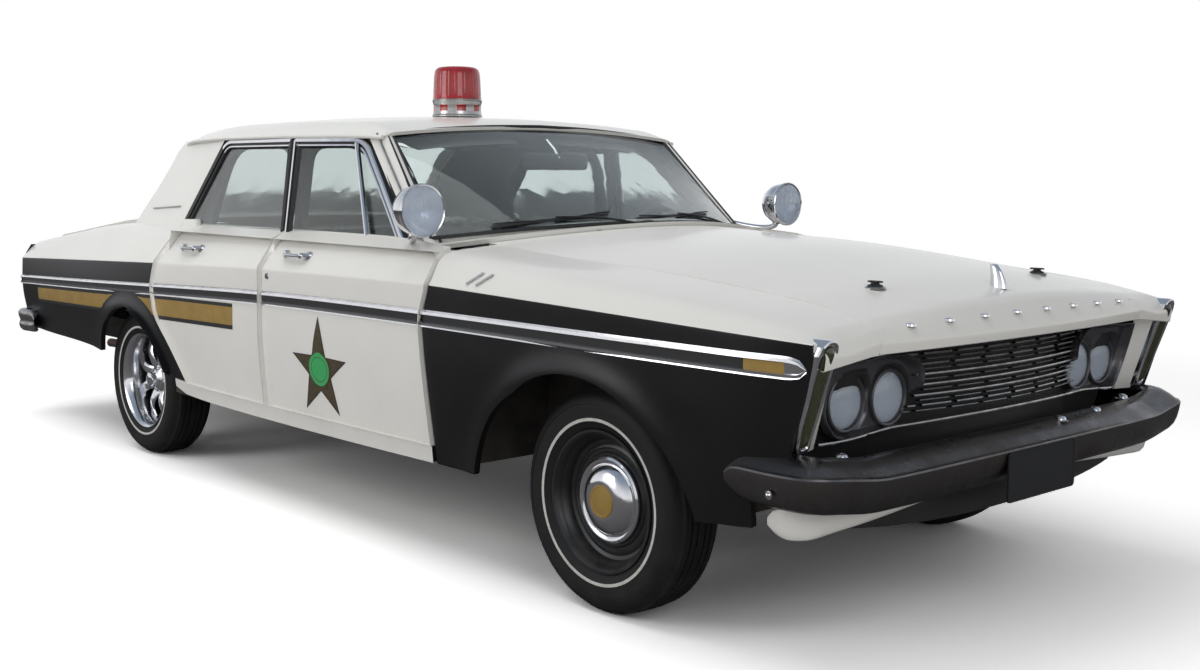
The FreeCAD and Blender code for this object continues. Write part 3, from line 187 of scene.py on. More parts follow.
def body_point(x, s):
    """A point of the left side at x and line number s: hat weights blend the lines beside s,
    and each line's corner is rounded as eased() rounds a knot."""
    x, s = np.broadcast_arrays(np.asarray(x, float), np.asarray(s, float))
    y, z = body_lines(x)
    hat = np.clip(1 - abs(s[..., None] - np.arange(7)), 0, None)
    left = np.clip(LINE_EASE[1:6] - abs(s[..., None] - np.arange(1, 6)), 0, None)
    corner = left**2 / (4 * LINE_EASE[1:6])
    turn_y, turn_z = (np.diff(np.diff(v, axis=-1), axis=-1) for v in (y, z))
    return np.stack([x, (hat * y).sum(-1) + (turn_y * corner).sum(-1),
                     (hat * z).sum(-1) + (turn_z * corner).sum(-1)], -1)


def line_at(x, z):
    """The line number of height z on the lower side, where the lines climb straight."""
    _, lines = body_lines(x)
    low, wide, trim, crease = np.moveaxis(lines[..., :4], -1, 0)
    above = np.where(z < trim, 1 + (z - wide) / (trim - wide), 2 + (z - trim) / (crease - trim))
    return np.where(z < wide, (z - low) / (wide - low), above)


def turned_in(grid, depth=0.016, edges="uvUV"):
    """The grid with its borders turned in: each border is set again, moved against the normal,
    the cross product of the grid's two directions. u and U are the first and last row."""
    across = np.gradient(grid, axis=1)
    along = np.gradient(grid, axis=0)
    normal = np.cross(along, across)
    normal /= np.linalg.norm(normal, axis=-1, keepdims=True) + 1e-12
    inner = grid - normal * depth
    if "u" in edges:
        grid, inner = np.concatenate([inner[:1], grid]), np.concatenate([inner[:1], inner])
    if "U" in edges:
        grid, inner = np.concatenate([grid, inner[-1:]]), np.concatenate([inner, inner[-1:]])
    if "v" in edges:
        grid, inner = np.concatenate([inner[:, :1], grid], 1), np.concatenate([inner[:, :1], inner], 1)
    if "V" in edges:
        grid = np.concatenate([grid, inner[:, -1:]], 1)
    return grid


ROUND = (False, True)  # closed= of a shape whose rows are rings


def make(name, grids, body, materials, replaces=(), slot=None, wall=0.0, closed=(False, False), sharp=35,
         facing=None, paint=None, wall_side=-1):
    """A piece from grids of points, each joined by quads. closed joins the last row or column to
    the first. facing is the direction the first grid looks; without it the shape is closed."""
    grids = grids if isinstance(grids, (list, tuple)) else [grids]
    materials = materials if isinstance(materials, (list, tuple)) else [materials]
    points, faces, marks, start = [], [], [], 0
    for order, grid in enumerate(grids):
        rows, columns = grid.shape[:2]
        index = start + np.arange(rows * columns).reshape(rows, columns)
        if closed[0]:
            index = np.concatenate([index, index[:1]])
        if closed[1]:
            index = np.concatenate([index, index[:, :1]], 1)
        quads = np.stack([index[:-1, :-1], index[1:, :-1], index[1:, 1:], index[:-1, 1:]], -1)
        faces.append(quads.reshape(-1, 4))
        chosen = np.zeros(quads.shape[:2],
                          int) if paint is None else np.broadcast_to(paint[order], quads.shape[:2])
        marks.append(chosen.reshape(-1))
        points.append(grid.reshape(-1, 3))
        start += rows * columns
    points, faces, marks = np.concatenate(points), np.concatenate(faces), np.concatenate(marks)
    corner = points[faces]
    normal = np.cross(corner[:, 2] - corner[:, 0], corner[:, 3] - corner[:, 1])
    if facing is not None and (normal @ np.array(facing, float)).sum() < 0:
        faces = faces[:, ::-1]
    if facing is None and (normal * corner.mean(1)).sum() - (normal @ points.mean(0)).sum() < 0:
        faces = faces[:, ::-1]
    mesh = bpy.data.meshes.new(name)
    mesh.vertices.add(len(points))
    mesh.vertices.foreach_set("co", points.ravel())
    mesh.loops.add(faces.size)
    mesh.loops.foreach_set("vertex_index", faces.ravel())
    mesh.polygons.add(len(faces))
    mesh.polygons.foreach_set("loop_start", np.arange(0, faces.size, 4))
    mesh.polygons.foreach_set("material_index", marks)
    mesh.update(calc_edges=True)
    mesh.validate()
    for material in materials:
        mesh.materials.append(material)
    piece = bpy.data.objects.new(name, mesh)
    bpy.context.collection.objects.link(piece)
    weld = piece.modifiers.new("weld", "WELD")
    weld.merge_threshold = 2e-5
    if wall:
        solid = piece.modifiers.new("wall", "SOLIDIFY")
        solid.thickness, solid.offset = wall, wall_side
    depsgraph = bpy.context.evaluated_depsgraph_get()
    finished = bpy.data.meshes.new_from_object(piece.evaluated_get(depsgraph))
    piece.modifiers.clear()
    piece.data = finished
    finished.name = name
    bpy.data.meshes.remove(mesh)
    finished.polygons.foreach_set("use_smooth", np.ones(len(finished.polygons), bool))
    finished.set_sharp_from_angle(angle=np.radians(sharp))
    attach(piece, body)
    if replaces:
        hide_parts(*([replaces] if isinstance(replaces, str) else replaces))
    return piece


def make_pair(name, grids, body, materials, facing=None, replaces=(), **more):
    """A piece of the left side and its mirror image on the right; * in a name is the side."""
    grids = grids if isinstance(grids, (list, tuple)) else [grids]
    for side, sign in SIDES:
        make(name.replace("*", side), [grid * (1, sign, 1) for grid in grids], body.replace("*", side),
             materials, facing=facing and np.multiply(facing, (1, sign, 1)),
             replaces=replaces and replaces.replace("*", side), **more)


def blend(a, b, count):
    """Rows of points that go straight from one row to another."""
    t = np.linspace(0, 1, count)[:, None]
    return a * (1 - t) + b * t


GAP = 0.0035  # half a panel gap, plus paint
STEEL = 0.0012
side_rows = np.array([1.75, 1.9, 2.0, 2.15, 2.5, 2.8, 2.93, 2.97, 3.0, 3.03, 3.07, 3.2, 3.4, 3.6, 3.75, 3.9,
                      4.0])
DOOR_GAP = (front + np.array([-.665, -.684, -.709, -.667, -.697]), np.arange(5))  # x of the gap on each line
POST = rear + 1.241


def edge_x(s, gap):
    """x of a panel gap at line number s."""
    return eased(s, np.array(gap[1], float), np.array(gap[0]), 0.6)


# ---------------------------------------------------------------- Front fenders
# Black pressed steel below the crease and white above it, bolted between the door gap and
# the nose, with a rounded lip round the wheel arch.
ARCH = {"front": (front - 0.015, hub - 0.097, 0.463), "rear": (rear + 0.060, hub - 0.075, 0.405)}


def arch_edge(name, angles):
    """x and line number of the wheel arch at angles from level, rear end first."""
    x0, z0, radius = ARCH[name]
    x, z = x0 - radius * np.cos(angles), z0 + radius * np.sin(angles)
    return x, line_at(x, z)


def swell(points, name, rise=0.010, width=0.045):
    """Pushes the side out near the arch by a bell of the distance from its edge."""
    x0, z0, radius = ARCH[name]
    away = np.hypot(points[..., 0] - x0, points[..., 2] - z0) - radius
    points = points.copy()
    points[..., 1] += rise * np.exp(-(away / width) ** 2)
    return points


def arched_panel(name, x_back, x_ahead, low_back, low_ahead, top_rows):
    """Grid over a wheel arch: its lowest row runs along the bottom edge, round the arch and
    along the bottom edge again; rows above run straight up to line 1.75 and then follow the lines."""
    x0, z0, radius = ARCH[name]
    start = np.arcsin(np.clip((body_point(x0 - radius, low_back)[2] - z0) / radius, -1, 1))
    finish_angle = np.pi - np.arcsin(np.clip((body_point(x0 + radius, low_ahead)[2] - z0) / radius, -1, 1))
    ax, a_s = arch_edge(name, np.linspace(start, finish_angle, 49))
    bx = np.linspace(x_back(low_back), ax[0], 9)[:-1]
    fx = np.linspace(ax[-1], x_ahead(low_ahead), 9)[1:]
    x_low = np.concatenate([bx, ax, fx])
    s_low = np.concatenate([np.linspace(low_back, a_s[0], 9)[:-1], a_s, np.linspace(a_s[-1], low_ahead, 9)[1:]])
    share = (x_low - x_low[0]) / (x_low[-1] - x_low[0])
    share = 0.6 * share + 0.4 * np.linspace(0, 1, len(x_low))
    x_rows, s_rows = [x_low], [s_low]
    split = top_rows[0]
    x_split = x_back(split) + share * (x_ahead(split) - x_back(split))
    for t in np.linspace(0, 1, 12)[1:]:
        s_row = s_low + (split - s_low) * t
        x_row = x_low + (x_split - x_low) * t
        x_row += share**6 * (x_ahead(s_row[-1]) - x_row[-1]) + (1 - share)**6 * (x_back(s_row[0]) - x_row[0])
        x_rows.append(x_row)
        s_rows.append(s_row)
    for s in top_rows[1:]:
        x_rows.append(x_back(s) + share * (x_ahead(s) - x_back(s)))
        s_rows.append(np.full_like(share, s))
    return swell(body_point(np.array(x_rows), np.array(s_rows)), name)


FENDER_FRONT = (front + np.array([.600, .600, .703, .720, .774, .779, .779]),
                np.array([0, .62, .74, 1, 2, 2.8, 5.2]))
fender_rows = np.concatenate([side_rows, [4.15, 4.35, 4.6, 4.8, 4.975]])
fender = arched_panel("front", lambda s: edge_x(s, DOOR_GAP) + GAP, lambda s: edge_x(s, FENDER_FRONT), 0.0, 0.0,
                      fender_rows)
row_line = np.concatenate([np.zeros(11), fender_rows])
fender_paint = np.where(row_line[1:] > CREASE - 1e-6, 0, 1)


NOSE = (front + 0.843, front + 0.800)  # x of its edge in the middle and at the seam
NOSE_Z, NOSE_LEAN, NOSE_EASE = 0.827, 0.70, 0.007  # height of the edge, run back per rise, rounding


def nosed(points):
    """Points lowered to a slope that falls forward to the nose's bowed edge, by a soft lesser
    of the two heights that fades out over the fenders' outer corners."""
    x, y, z = np.moveaxis(points, -1, 0)
    slope = NOSE_Z + (NOSE[0] + (NOSE[1] - NOSE[0]) * (y / SEAM_Y) ** 2 - x) / NOSE_LEAN
    over = NOSE_EASE * np.log1p(np.exp(np.clip((z - slope) / NOSE_EASE, -30, 30)))
    share = np.clip((0.88 - np.abs(y)) / 0.12, 0, 1)
    return points - over[..., None] * share[..., None] * (0, 0, 1)


fender = turned_in(nosed(fender), 0.020)
fender_paint = np.concatenate([[1], fender_paint, [0]])[:, None]
NOSE_ROLL = np.array([(0, 0), (.0065, .009), (.012, .017), (.0165, .024), (.018, .031)])  # ahead, down


def nose_lip(edge, bottom, depth=0.030):
    """Carries a front edge over a rolled lip: a quarter turn, then down to the lip's bottom
    height and back under it."""
    rolled = [edge + np.array((ahead, 0, -down)) for ahead, down in NOSE_ROLL]
    foot = rolled[-1].copy()
    foot[:, 2] = bottom
    foot[:, 0] -= 0.004
    tail = [rolled[-1] / 2 + foot / 2, foot, foot - (0.003, 0, 0.002), foot - (depth, 0, -0.004)]
    return np.array(rolled + tail)


lip_s = fender_rows[fender_rows > 3.3]
lip_edge = nosed(body_point(edge_x(lip_s, FENDER_FRONT), lip_s))
fender_lip = nose_lip(lip_edge, 0.799 - 0.11 * np.clip(lip_edge[:, 1] - SEAM_Y, 0, None))
make_pair("fender_skin_*", [fender, fender_lip], "body", (white_paint, black_paint), replaces="fender_*",
          slot="black_paint", facing=(0, 1, 0.2), paint=(fender_paint, 0), wall=STEEL)

# ---------------------------------------------------------------- Doors
# Each door is a pressed shell: outer skin, a painted jamb round its edge and a vinyl
# trim board inside. The rear door's back edge follows the wheel arch.
REAR_GAP = (rear + np.array([.600, .350, .317, .352, .400, .400]), np.array([.21, 1.26, 2.15, 3.0, 3.76, 4.2]))
door_rows = np.concatenate([[.21, .24, .35, .5, .7, .85, 1.0, 1.15, 1.3, 1.5], side_rows, [4.08, 4.16]])
DOOR_INNER = 0.790
DOOR_STEP = 0.025
vinyl = finish("door_vinyl", (0.035, 0.036, 0.040), 0.55, dust=(0.10, 0.09, 0.08), amount=0.2, bump=0.25,
               bump_scale=900.0)


def door_skin(x_ahead, x_back, columns=46):
    """Outer skin of a door: rows on the body lines, columns straight from gap to gap."""
    s = door_rows[:, None]
    t = np.linspace(0, 1, columns)[None, :]
    return body_point(x_ahead(s) * (1 - t) + x_back(s) * t, s)


def loop_of(grid):
    """The border of a grid as one closed loop of points."""
    return np.concatenate([grid[0], grid[1:, -1], grid[-1, -2::-1], grid[-2:0:-1, 0]])


doors = {"front_door": (lambda s: edge_x(s, DOOR_GAP) - GAP, lambda s: POST + GAP + 0 * s),
         "rear_door": (lambda s: POST - GAP + 0 * s, lambda s: edge_x(s, REAR_GAP) + GAP)}
for name, (x_ahead, x_back) in doors.items():
    skin = door_skin(x_ahead, x_back)
    skin_edge = turned_in(skin, 0.014)
    rim = loop_of(skin_edge)
    step = DOOR_STEP if name == "rear_door" else 0.0
    inner = rim.copy()
    inner[:, 1] = DOOR_INNER + 0.004
    middle_x, reach = (rim[:, 0].max() + rim[:, 0].min()) / 2, np.ptp(rim[:, 0]) / 2
    inner[:, 0] += np.clip((middle_x - rim[:, 0]) / reach, 0, 1) ** 2 * (0.022 + step)
    inner[:, 2] = np.clip(inner[:, 2], None, 0.985)
    jamb = np.stack([rim, rim + (0, -0.004, 0), inner * (1, 0, 1) + (0, 0.892, 0), inner])
    board_z = np.linspace(0.395, 0.975, 16)[:, None]
    board_x0 = inner[:, 0].max() - 0.01
    back_edge = sorted((p[2], p[0]) for p in inner[inner[:, 0] < middle_x - 0.6 * reach])
    board_x1 = np.interp(board_z, *zip(*back_edge)) + 0.02
    t = np.linspace(0, 1, 30)[None, :]
    board = np.stack(np.broadcast_arrays(board_x0 * (1 - t) + board_x1 * t, DOOR_INNER + 0 * t, board_z), -1)
    sewn = np.abs(np.sin(24 * board[..., 0])) ** 0.3 * np.clip((board[..., 2] - 0.48) / 0.05, 0, 1) * np.clip(
        (0.86 - board[..., 2]) / 0.05, 0, 1)
    board = board + (0, -0.003, 0) - sewn[..., None] * np.array((0, 0.005, 0))
    whole = name + "_*"
    make_pair(whole + "_skin", skin_edge, whole, white_paint, replaces=whole, facing=(0, 1, 0), wall=STEEL)
    make_pair(whole + "_jamb", jamb, whole, white_paint, closed=ROUND)
    make_pair(whole + "_trim_board", turned_in(board, 0.012)[:, ::-1], whole, vinyl, facing=(0, -1, 0))

# ---------------------------------------------------------------- Rear quarters
# Welded side pressings from the rear door to the tail: black below the crease, white
# above, round the wheel arch, ending at the tail panel.
TAIL = rear - 1.330
quarter_rows = np.concatenate([side_rows, [4.15, 4.35, 4.6, 4.8, 4.975]])
quarter = arched_panel("rear", lambda s: TAIL + 0 * s, lambda s: edge_x(s, REAR_GAP) - GAP, 0.0, 0.215,
                       quarter_rows)
quarter_paint = np.concatenate([[1], np.where(np.concatenate([np.zeros(10), quarter_rows]) > CREASE - 1e-6, 0,
                                              1), [0]])[:, None]
quarter = turned_in(quarter, 0.020)
make_pair("quarter_skin_*", quarter, "body", (white_paint, black_paint), replaces="quarter_*",
          slot="black_paint", facing=(0, 1, 0.2), paint=(quarter_paint,), wall=STEEL)

# ---------------------------------------------------------------- Sills
# White rocker panels under the doors, from the front fender to the rear wheel arch.
sill_x = np.linspace(front - 0.685, rear + 0.470, 60)[None, :]
sill_s = np.array([0.19, 0.16, 0.1, 0.05, 0.0])[:, None]
sill = body_point(*np.broadcast_arrays(sill_x, sill_s))
under = sill[-1:] * (1, 0, 1) + np.array([[[0, 0.86, -0.004]]])
sill = np.concatenate([sill[:1] - (0, 0.05, 0), sill, under, under * (1, 0, 1) + (0, 0.80, 0)])
make_pair("sill_*", sill, "body", white_paint, facing=(0, 1, -0.2), wall=STEEL)

# ---------------------------------------------------------------- Hood
# White pressed steel panel, bowed across, with a raised middle, rolled over at the nose
# into a lip above the grille, hinged at the cowl and pinned near the front corners.
HOOD_REAR = (front - 0.560, front - 0.740)  # in the middle and at the seam


def top_point(x, y):
    """A point of the upper body at x and y, which falls from the middle as y squared."""
    _, z = body_lines(x)
    return np.stack(np.broadcast_arrays(x, y, z[..., 6] + (z[..., 5] - z[..., 6]) * (y / SEAM_Y) ** 2), -1)


across = np.linspace(-1, 1, 61)
hood_y = (SEAM_Y - 2 * GAP) * across
rear_line = HOOD_REAR[0] + (HOOD_REAR[1] - HOOD_REAR[0]) * across**2
nose_line = NOSE[0] + (NOSE[1] - NOSE[0]) * across**2 - NOSE_ROLL[-1, 0]
along = np.linspace(0, 1, 48)[:, None] ** 0.8
hood = nosed(top_point(rear_line * (1 - along) + nose_line * along, np.broadcast_to(hood_y, (48, 61))))
lip_bottom = 0.803 - 0.004 * across**2
hood = np.concatenate([hood, nose_lip(hood[-1], lip_bottom, 0.080)[1:]])
make("hood_skin", [turned_in(hood, 0.014, "uvV")], "hood", white_paint, replaces="hood", facing=(0, 0, 1),
     wall=STEEL)

# ---------------------------------------------------------------- Cowl
# White fixed panel between the hood and the windshield, with an air inlet of fine slots.
cowl_y = np.linspace(-0.79, 0.79, 71)
cowl_ahead = HOOD_REAR[0] + (HOOD_REAR[1] - HOOD_REAR[0]) * (cowl_y / SEAM_Y) ** 2 - 2 * GAP
cowl_ahead = np.maximum(cowl_ahead, front - 0.90)
cowl_behind = front - 0.700 - (0.985 - 0.690) * (cowl_y / 0.80) ** 2
cowl_t = np.linspace(0, 1, 10)[:, None]
cowl_x = cowl_ahead * (1 - cowl_t) + cowl_behind * cowl_t
cowl = top_point(cowl_x, np.broadcast_to(cowl_y, cowl_x.shape))
make("cowl_skin", [turned_in(cowl, 0.014)], "body", white_paint, replaces="cowl", facing=(0, 0, 1), wall=STEEL)

# ---------------------------------------------------------------- Rear deck and trunk lid
# White panels behind the rear window: a narrow fixed strip and the opening lid, which
# turns down at the tail.
LID_FRONT = rear - 0.570
deck_y = np.linspace(-SEAM_Y, SEAM_Y, 61)
deck_ahead = rear - .330 + .140 * (deck_y / .722) ** 2
deck_t = np.linspace(0, 1, 12)[:, None]
deck_x = deck_ahead * (1 - deck_t) + (LID_FRONT + GAP) * deck_t
make("deck_skin", [turned_in(top_point(deck_x, np.broadcast_to(deck_y, deck_x.shape)), 0.014)], "body",
     white_paint, replaces="rear_deck", facing=(0, 0, 1), wall=STEEL)
lid_y = (SEAM_Y - 0.006 - GAP) * across
lid_x = np.linspace(LID_FRONT - GAP, TAIL + 0.03, 34)[:, None] + 0 * lid_y
lid = top_point(lid_x, np.broadcast_to(lid_y, lid_x.shape))
LID_ROLL = np.array([(.012, .002), (.020, .006), (.026, .013), (.029, .024), (.030, .05), (.030, .10),
                     (.030, .16), (.030, .200)])
lid_turn = np.array([lid[-1] - np.array((a, 0, d)) for a, d in LID_ROLL])
make("trunk_lid_skin", [turned_in(np.concatenate([lid, lid_turn]), 0.014)], "trunk_lid", white_paint,
     replaces="trunk_lid", facing=(0, 0, 1), wall=STEEL)

# ---------------------------------------------------------------- Roof
# White roof panel from the windshield to the rear window, with wide sail panels that run
# down to the quarters.
ROOF = np.array([  # x, rail y and z, turn y and z, z in the middle; tail first
    (rear + 0.206, .692, 1.332, .612, 1.354, 1.376), (rear + 0.334, .732, 1.350, .640, 1.382, 1.414),
    (rear + 0.646, .774, 1.356, .685, 1.404, 1.440), (rear + 1.163, .799, 1.358, .695, 1.408, 1.445),
    (front - 1.394, .725, 1.356, .645, 1.403, 1.428), (front - 1.258, .694, 1.350, .640, 1.364, 1.396)])


def roof_point(x, t):
    """A point of the left half roof: t = 0 at the rail, 1 at the turn, 2 in the middle. The
    turn is rounded and the crown falls from the middle as a square."""
    lines = [eased(x, ROOF[:, 0], column) for column in ROOF[:, 1:].T]
    rail_y, rail_z, turn_y, turn_z, crown = lines
    inner = np.clip(t - 1, 0, 1)
    y = rail_y + (turn_y - rail_y) * np.clip(t, 0, 1) - turn_y * inner
    z = rail_z + (turn_z - rail_z) * np.sin(np.clip(t, 0, 1) * np.pi
                                            / 2) + (crown - turn_z) * (1 - (1 - inner) ** 2)
    return np.stack(np.broadcast_arrays(x, y, z), -1)


roof_t = np.concatenate([np.linspace(0, 1, 14), np.linspace(1, 2, 20)[1:]])[None, :]
roof_back, roof_ahead = rear + 0.206, front - 1.258
roof_x = np.linspace(0, 1, 70)[:, None]
roof_x = roof_back + (roof_ahead - roof_back) * roof_x + 0 * roof_t
half_roof = roof_point(roof_x, roof_t + 0 * roof_x)
roof = np.concatenate([half_roof * (1, -1, 1), half_roof[:, -2::-1]], 1)

# Side wall of the cabin at five sections: x and y of the outer face of glass and pillars,
# at the wall's lower and then its upper height; tail first
WALL = np.array([(rear - .560, .712, rear - .020, .679), (rear - .300, .738, rear + .226, .700),
                 (rear + .374, .830, rear + .700, .775), (POST, .845, POST, .797),
                 (front - .900, .813, front - 1.290, .694)])
WALL_Z = (0.978, 1.361)


def wall_point(x, z, depth=0.0):
    """A point of the leaning side wall. The sections lean, so each one's x is taken at height
    z, and the section number is the sum of the shares of each bay that x has passed."""
    t = np.asarray((z - WALL_Z[0]) / (WALL_Z[1] - WALL_Z[0]))
    knots = WALL[:, 0] * (1 - t[..., None]) + WALL[:, 2] * t[..., None]
    number = np.clip((np.asarray(x)[..., None] - knots[..., :-1]) / np.diff(knots), 0, 1).sum(-1)
    y = eased(number, np.arange(5.0), WALL[:, 1],
              .5) * (1 - t) + eased(number, np.arange(5.0), WALL[:, 3], .5) * t
    return np.stack(np.broadcast_arrays(x, y - depth, z), -1)


# z and x of the sail panel's rear edge
SAIL_BACK = np.array([(.948, rear - .265), (.998, rear - .207), (1.086, rear - .095), (1.150, rear - .008),
                      (1.256, rear + .110), (1.308, rear + .156), (1.345, rear + .226)])
sail_z = np.linspace(0.955, 1.345, 30)[:, None]
sail_u = np.linspace(0, 1, 22)[None, :]
sail_ahead = np.interp(sail_z, [0.948, 0.983, 1.352], [rear + .338, rear + .368, rear + .692])
sail_rear = eased(sail_z, *SAIL_BACK.T)
sail_x = sail_ahead * (1 - sail_u) + sail_rear * sail_u
sail = wall_point(sail_x, sail_z + 0 * sail_x)
corner = np.linspace(0, np.pi / 2, 7)[1:]
turn = sail[:, -1:] + np.stack([-0.022 * np.sin(corner), -0.022 * (1 - np.cos(corner)), 0 * corner], -1)[None]
window_side = turn[:, -1:] - (0.004, 0.045, 0)
sail = np.concatenate([sail, turn, window_side], 1)
roof_grids = [turned_in(roof, 0.012)]
for _, sign in SIDES:
    roof_grids.append(sail * (1, sign, 1))


def oriented(grid, outward):
    """The grid, turned over if its first cell doesn't look outward."""
    normal = np.cross(grid[1, 0] - grid[0, 0], grid[0, 1] - grid[0, 0])
    return grid if normal @ np.array(outward, float) > 0 else grid[:, ::-1]


roof_grids = [oriented(roof_grids[0], (0, 0, 1))] + [oriented(g, (0, s, 0)) for g,
                                                     (_, s) in zip(roof_grids[1:], SIDES)]
make("roof_skin", roof_grids, "body", white_paint, replaces="roof", facing=(0, 0, 1), wall=STEEL)

# ---------------------------------------------------------------- Glass
# Laminated windshield and tempered side and rear panes, faintly grey-green.
glass = bpy.data.materials.new("tinted_glass")
glass_tree, glass_shader = nodes_of(glass)
for key, value in (("Base Color", (0.78, 0.84, 0.83, 1)), ("Roughness", 0.02), ("IOR", 1.5),
                   ("Transmission Weight", 1.0)):
    glass_shader.inputs[key].default_value = value
haze = add(glass_tree, "TexNoise", in_Scale=9.0, in_Detail=5.0)
haze_range = add(glass_tree, "MapRange", in_From_Min=0.3, in_From_Max=0.8, in_To_Min=0.0, in_To_Max=0.06)
haze_place = add(glass_tree, "TexCoord")
join(glass_tree, (haze_place, "Object", haze, "Vector"), (haze, "Fac", haze_range, "Value"),
     (haze_range, "Result", glass_shader, "Roughness"))


def coat_node(coat, *names):
    """Gives nodes of the frame one material."""
    for name in names:
        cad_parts[name].data.materials.clear()
        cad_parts[name].data.materials.append(coat)


coat_node(glass, "windshield", "rear_window", *(f"{end}_door_glass_{side}" for end in ("front", "rear")
                                                for side in ("right", "left")))

# ---------------------------------------------------------------- Front bumper
# One heavy pressed blade with a shelf on top, wrapped round to the wheel arches. Its old
# chrome has gone brown and dull; chromed bolts hold it to its arms.
worn_chrome = finish("worn_chrome", (0.21, 0.20, 0.20), 0.22, dust=(0.085, 0.06, 0.045), amount=0.9, scale=9.0,
                     rougher=0.35, fade_height=2.0, bump=0.12, bump_scale=90.0, Metallic=1.0)
chrome = finish("chrome", (0.78, 0.78, 0.80), 0.07, dust=(0.40, 0.38, 0.36), amount=0.25, scale=25.0,
                rougher=0.25, fade_height=2.0, Metallic=1.0)
black_trim = finish("black_trim", (0.012, 0.012, 0.013), 0.45, dust=(0.05, 0.047, 0.043), amount=0.3, bump=0.1,
                    bump_scale=500.0)


def plan_path(corners, count, share=0.9):
    """A path in plan through corners given from the side to the middle, eased by y or x and
    mirrored to the other side; evenly spaced along its length."""
    corners = np.array(corners, float)
    length = np.concatenate([[0], np.cumsum(np.hypot(*np.diff(corners, axis=0).T))])
    at = np.linspace(0, length[-1], count)
    half = np.stack([eased(at, length, column, share) for column in corners.T], -1)
    return np.concatenate([half, half[-2::-1] * (1, -1)]), at


def outward(path):
    """Unit normals of a plan path, turned to the right of its direction of travel."""
    tangent = np.gradient(path, axis=0)
    tangent /= np.linalg.norm(tangent, axis=1, keepdims=True)
    return np.stack([tangent[:, 1], -tangent[:, 0]], -1)


def blade(corners, profile, sign=1, end=0.05, count=70):
    """A bumper: a profile of (out, z) carried round the plan path, pinched to a rounded end."""
    path, at = plan_path(corners, count)
    normal = outward(path) * -sign
    reach = np.concatenate([at, at[-2::-1]])
    pinch = np.sqrt(np.clip(1 - (1 - np.clip(reach / end, 0, 1)) ** 2, 1e-4, 1))
    profile = np.array(profile, float)
    middle_z = (profile[:, 1].max() + profile[:, 1].min()) / 2
    out = profile[None, :, 0] * pinch[:, None] ** 0.5
    z = middle_z + (profile[None, :, 1] - middle_z) * (0.25 + 0.75 * pinch[:, None])
    xy = path[:, None, :] + normal[:, None, :] * out[..., None]
    return np.concatenate([xy, z[..., None]], -1)


bumper_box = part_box("front_bumper")
blade_x = bumper_box[1][0]
BLADE = np.array([(-.105, .538), (-.100, .545), (-.080, .549), (-.055, .541), (-.030, .526), (-.014, .5135),
                  (-.008, .5100), (-.003, .5085), (0, .504), (-.0005, .497), (-.003, .480), (-.008, .457),
                  (-.016, .438), (-.028, .424), (-.038, .4175), (-.050, .416), (-.060, .421), (-.046, .436),
                  (-.030, .455), (-.022, .480), (-.020, .497), (-.040, .517), (-.080, .533), (-.100, .533)])
bumper = blade([(front + .551, .930), (front + .700, .936), (front + .790, .925), (front + .842, .870),
                (blade_x - .003, .600), (blade_x, 0)], BLADE)
swept = np.clip((np.abs(bumper[..., 1]) - .66) / .24, 0, 1)
bumper = bumper + (swept * swept * (3 - 2 * swept))[..., None] * (0, 0, .022)
make("front_bumper_blade", bumper, "body", worn_chrome, replaces="front_bumper", closed=ROUND)


def turned(profile, centre, axis="y", count=48):
    """A profile of (radius, along) turned about an axis through a point."""
    profile = np.array(profile, float)
    angle = np.linspace(0, 2 * np.pi, count, endpoint=False)
    radius = profile[:, None, 0]
    ring = (radius * np.cos(angle), radius * np.sin(angle))
    run = np.broadcast_to(profile[:, None, 1], ring[0].shape)
    order = {"x": (run, *ring), "y": (ring[0], run, ring[1]), "z": (*ring, run)}[axis]
    return np.stack(order, -1) + np.array(centre, float)


BOLT = np.array([(.0001, .012), (.008, .011), (.014, .007), (.017, 0), (.024, -.001), (.024, -.004),
                 (.0001, -.004)])
bolts = [turned(BOLT, (blade_x - back, y, .543), "z", 20) for y,
         back in ((-.70, .135), (.20, .062), (.42, .075), (.70, .135))]
bolts += [turned(BOLT * (.45, -.5), (front + .700, sign * .9362, .480), "y", 12) for _, sign in SIDES]
make("front_bumper_bolts", bolts, "body", chrome, closed=ROUND)
arms = [np.array([[(front + .63, y0, .450), (front + .63, y1, .450), (front + .63, y1, .495),
                   (front + .63, y0, .495)], [(front + .80, y0, .450), (front + .80, y1, .450),
                                              (front + .80, y1, .495), (front + .80, y0, .495)]]) for y0,
        y1 in ((-.45, -.405), (.405, .45))]
make("front_bumper_arms", arms, "body", black_trim, slot="black_steel", closed=ROUND)

# ---------------------------------------------------------------- Front valance and plate
# The white stone guard under the bumper, tucked in and up towards the middle, a dark apron
# behind it, and a blank black number plate that hangs from the bumper's middle. The apron
# is partly painted shade: a black sheet that stands for the shaded underside below the guard.
VALANCE = np.array([(-.020, .440), (-.004, .430), (0, .415), (0, .390), (-.004, .372), (-.014, .358),
                    (-.030, .351), (-.050, .350), (-.060, .352), (-.040, .356), (-.014, .370), (-.008, .400),
                    (-.012, .430)])
valance = blade([(front + .640, .868), (front + .700, .872), (front + .755, .830), (front + .795, .600),
                 (front + .800, 0)], VALANCE, end=0.05)
tucked = 1 - np.clip(np.abs(valance[..., 1]) / .84, 0, 1) ** 2
valance = valance + tucked[..., None] * (-.035, 0, .040)
make("front_valance_guard", valance, "body", white_paint, replaces="front_valance", closed=ROUND)
# Black apron, partly a real part and partly painted shade: it darkens the band under the guard where the
# underside lies in shade.
apron_y, apron_t = np.linspace(-.66, .66, 30)[None, :], np.linspace(0, 1, 6)[:, None]
apron_z = .430 - (.116 - .040 * (apron_y / .66) ** 2) * apron_t
apron = np.stack(np.broadcast_arrays(front + .735 - .12 * apron_y**4, apron_y, apron_z), -1)
make("front_apron_painted_shade", apron, "body", black_trim, facing=(1, 0, 0), wall=.003)


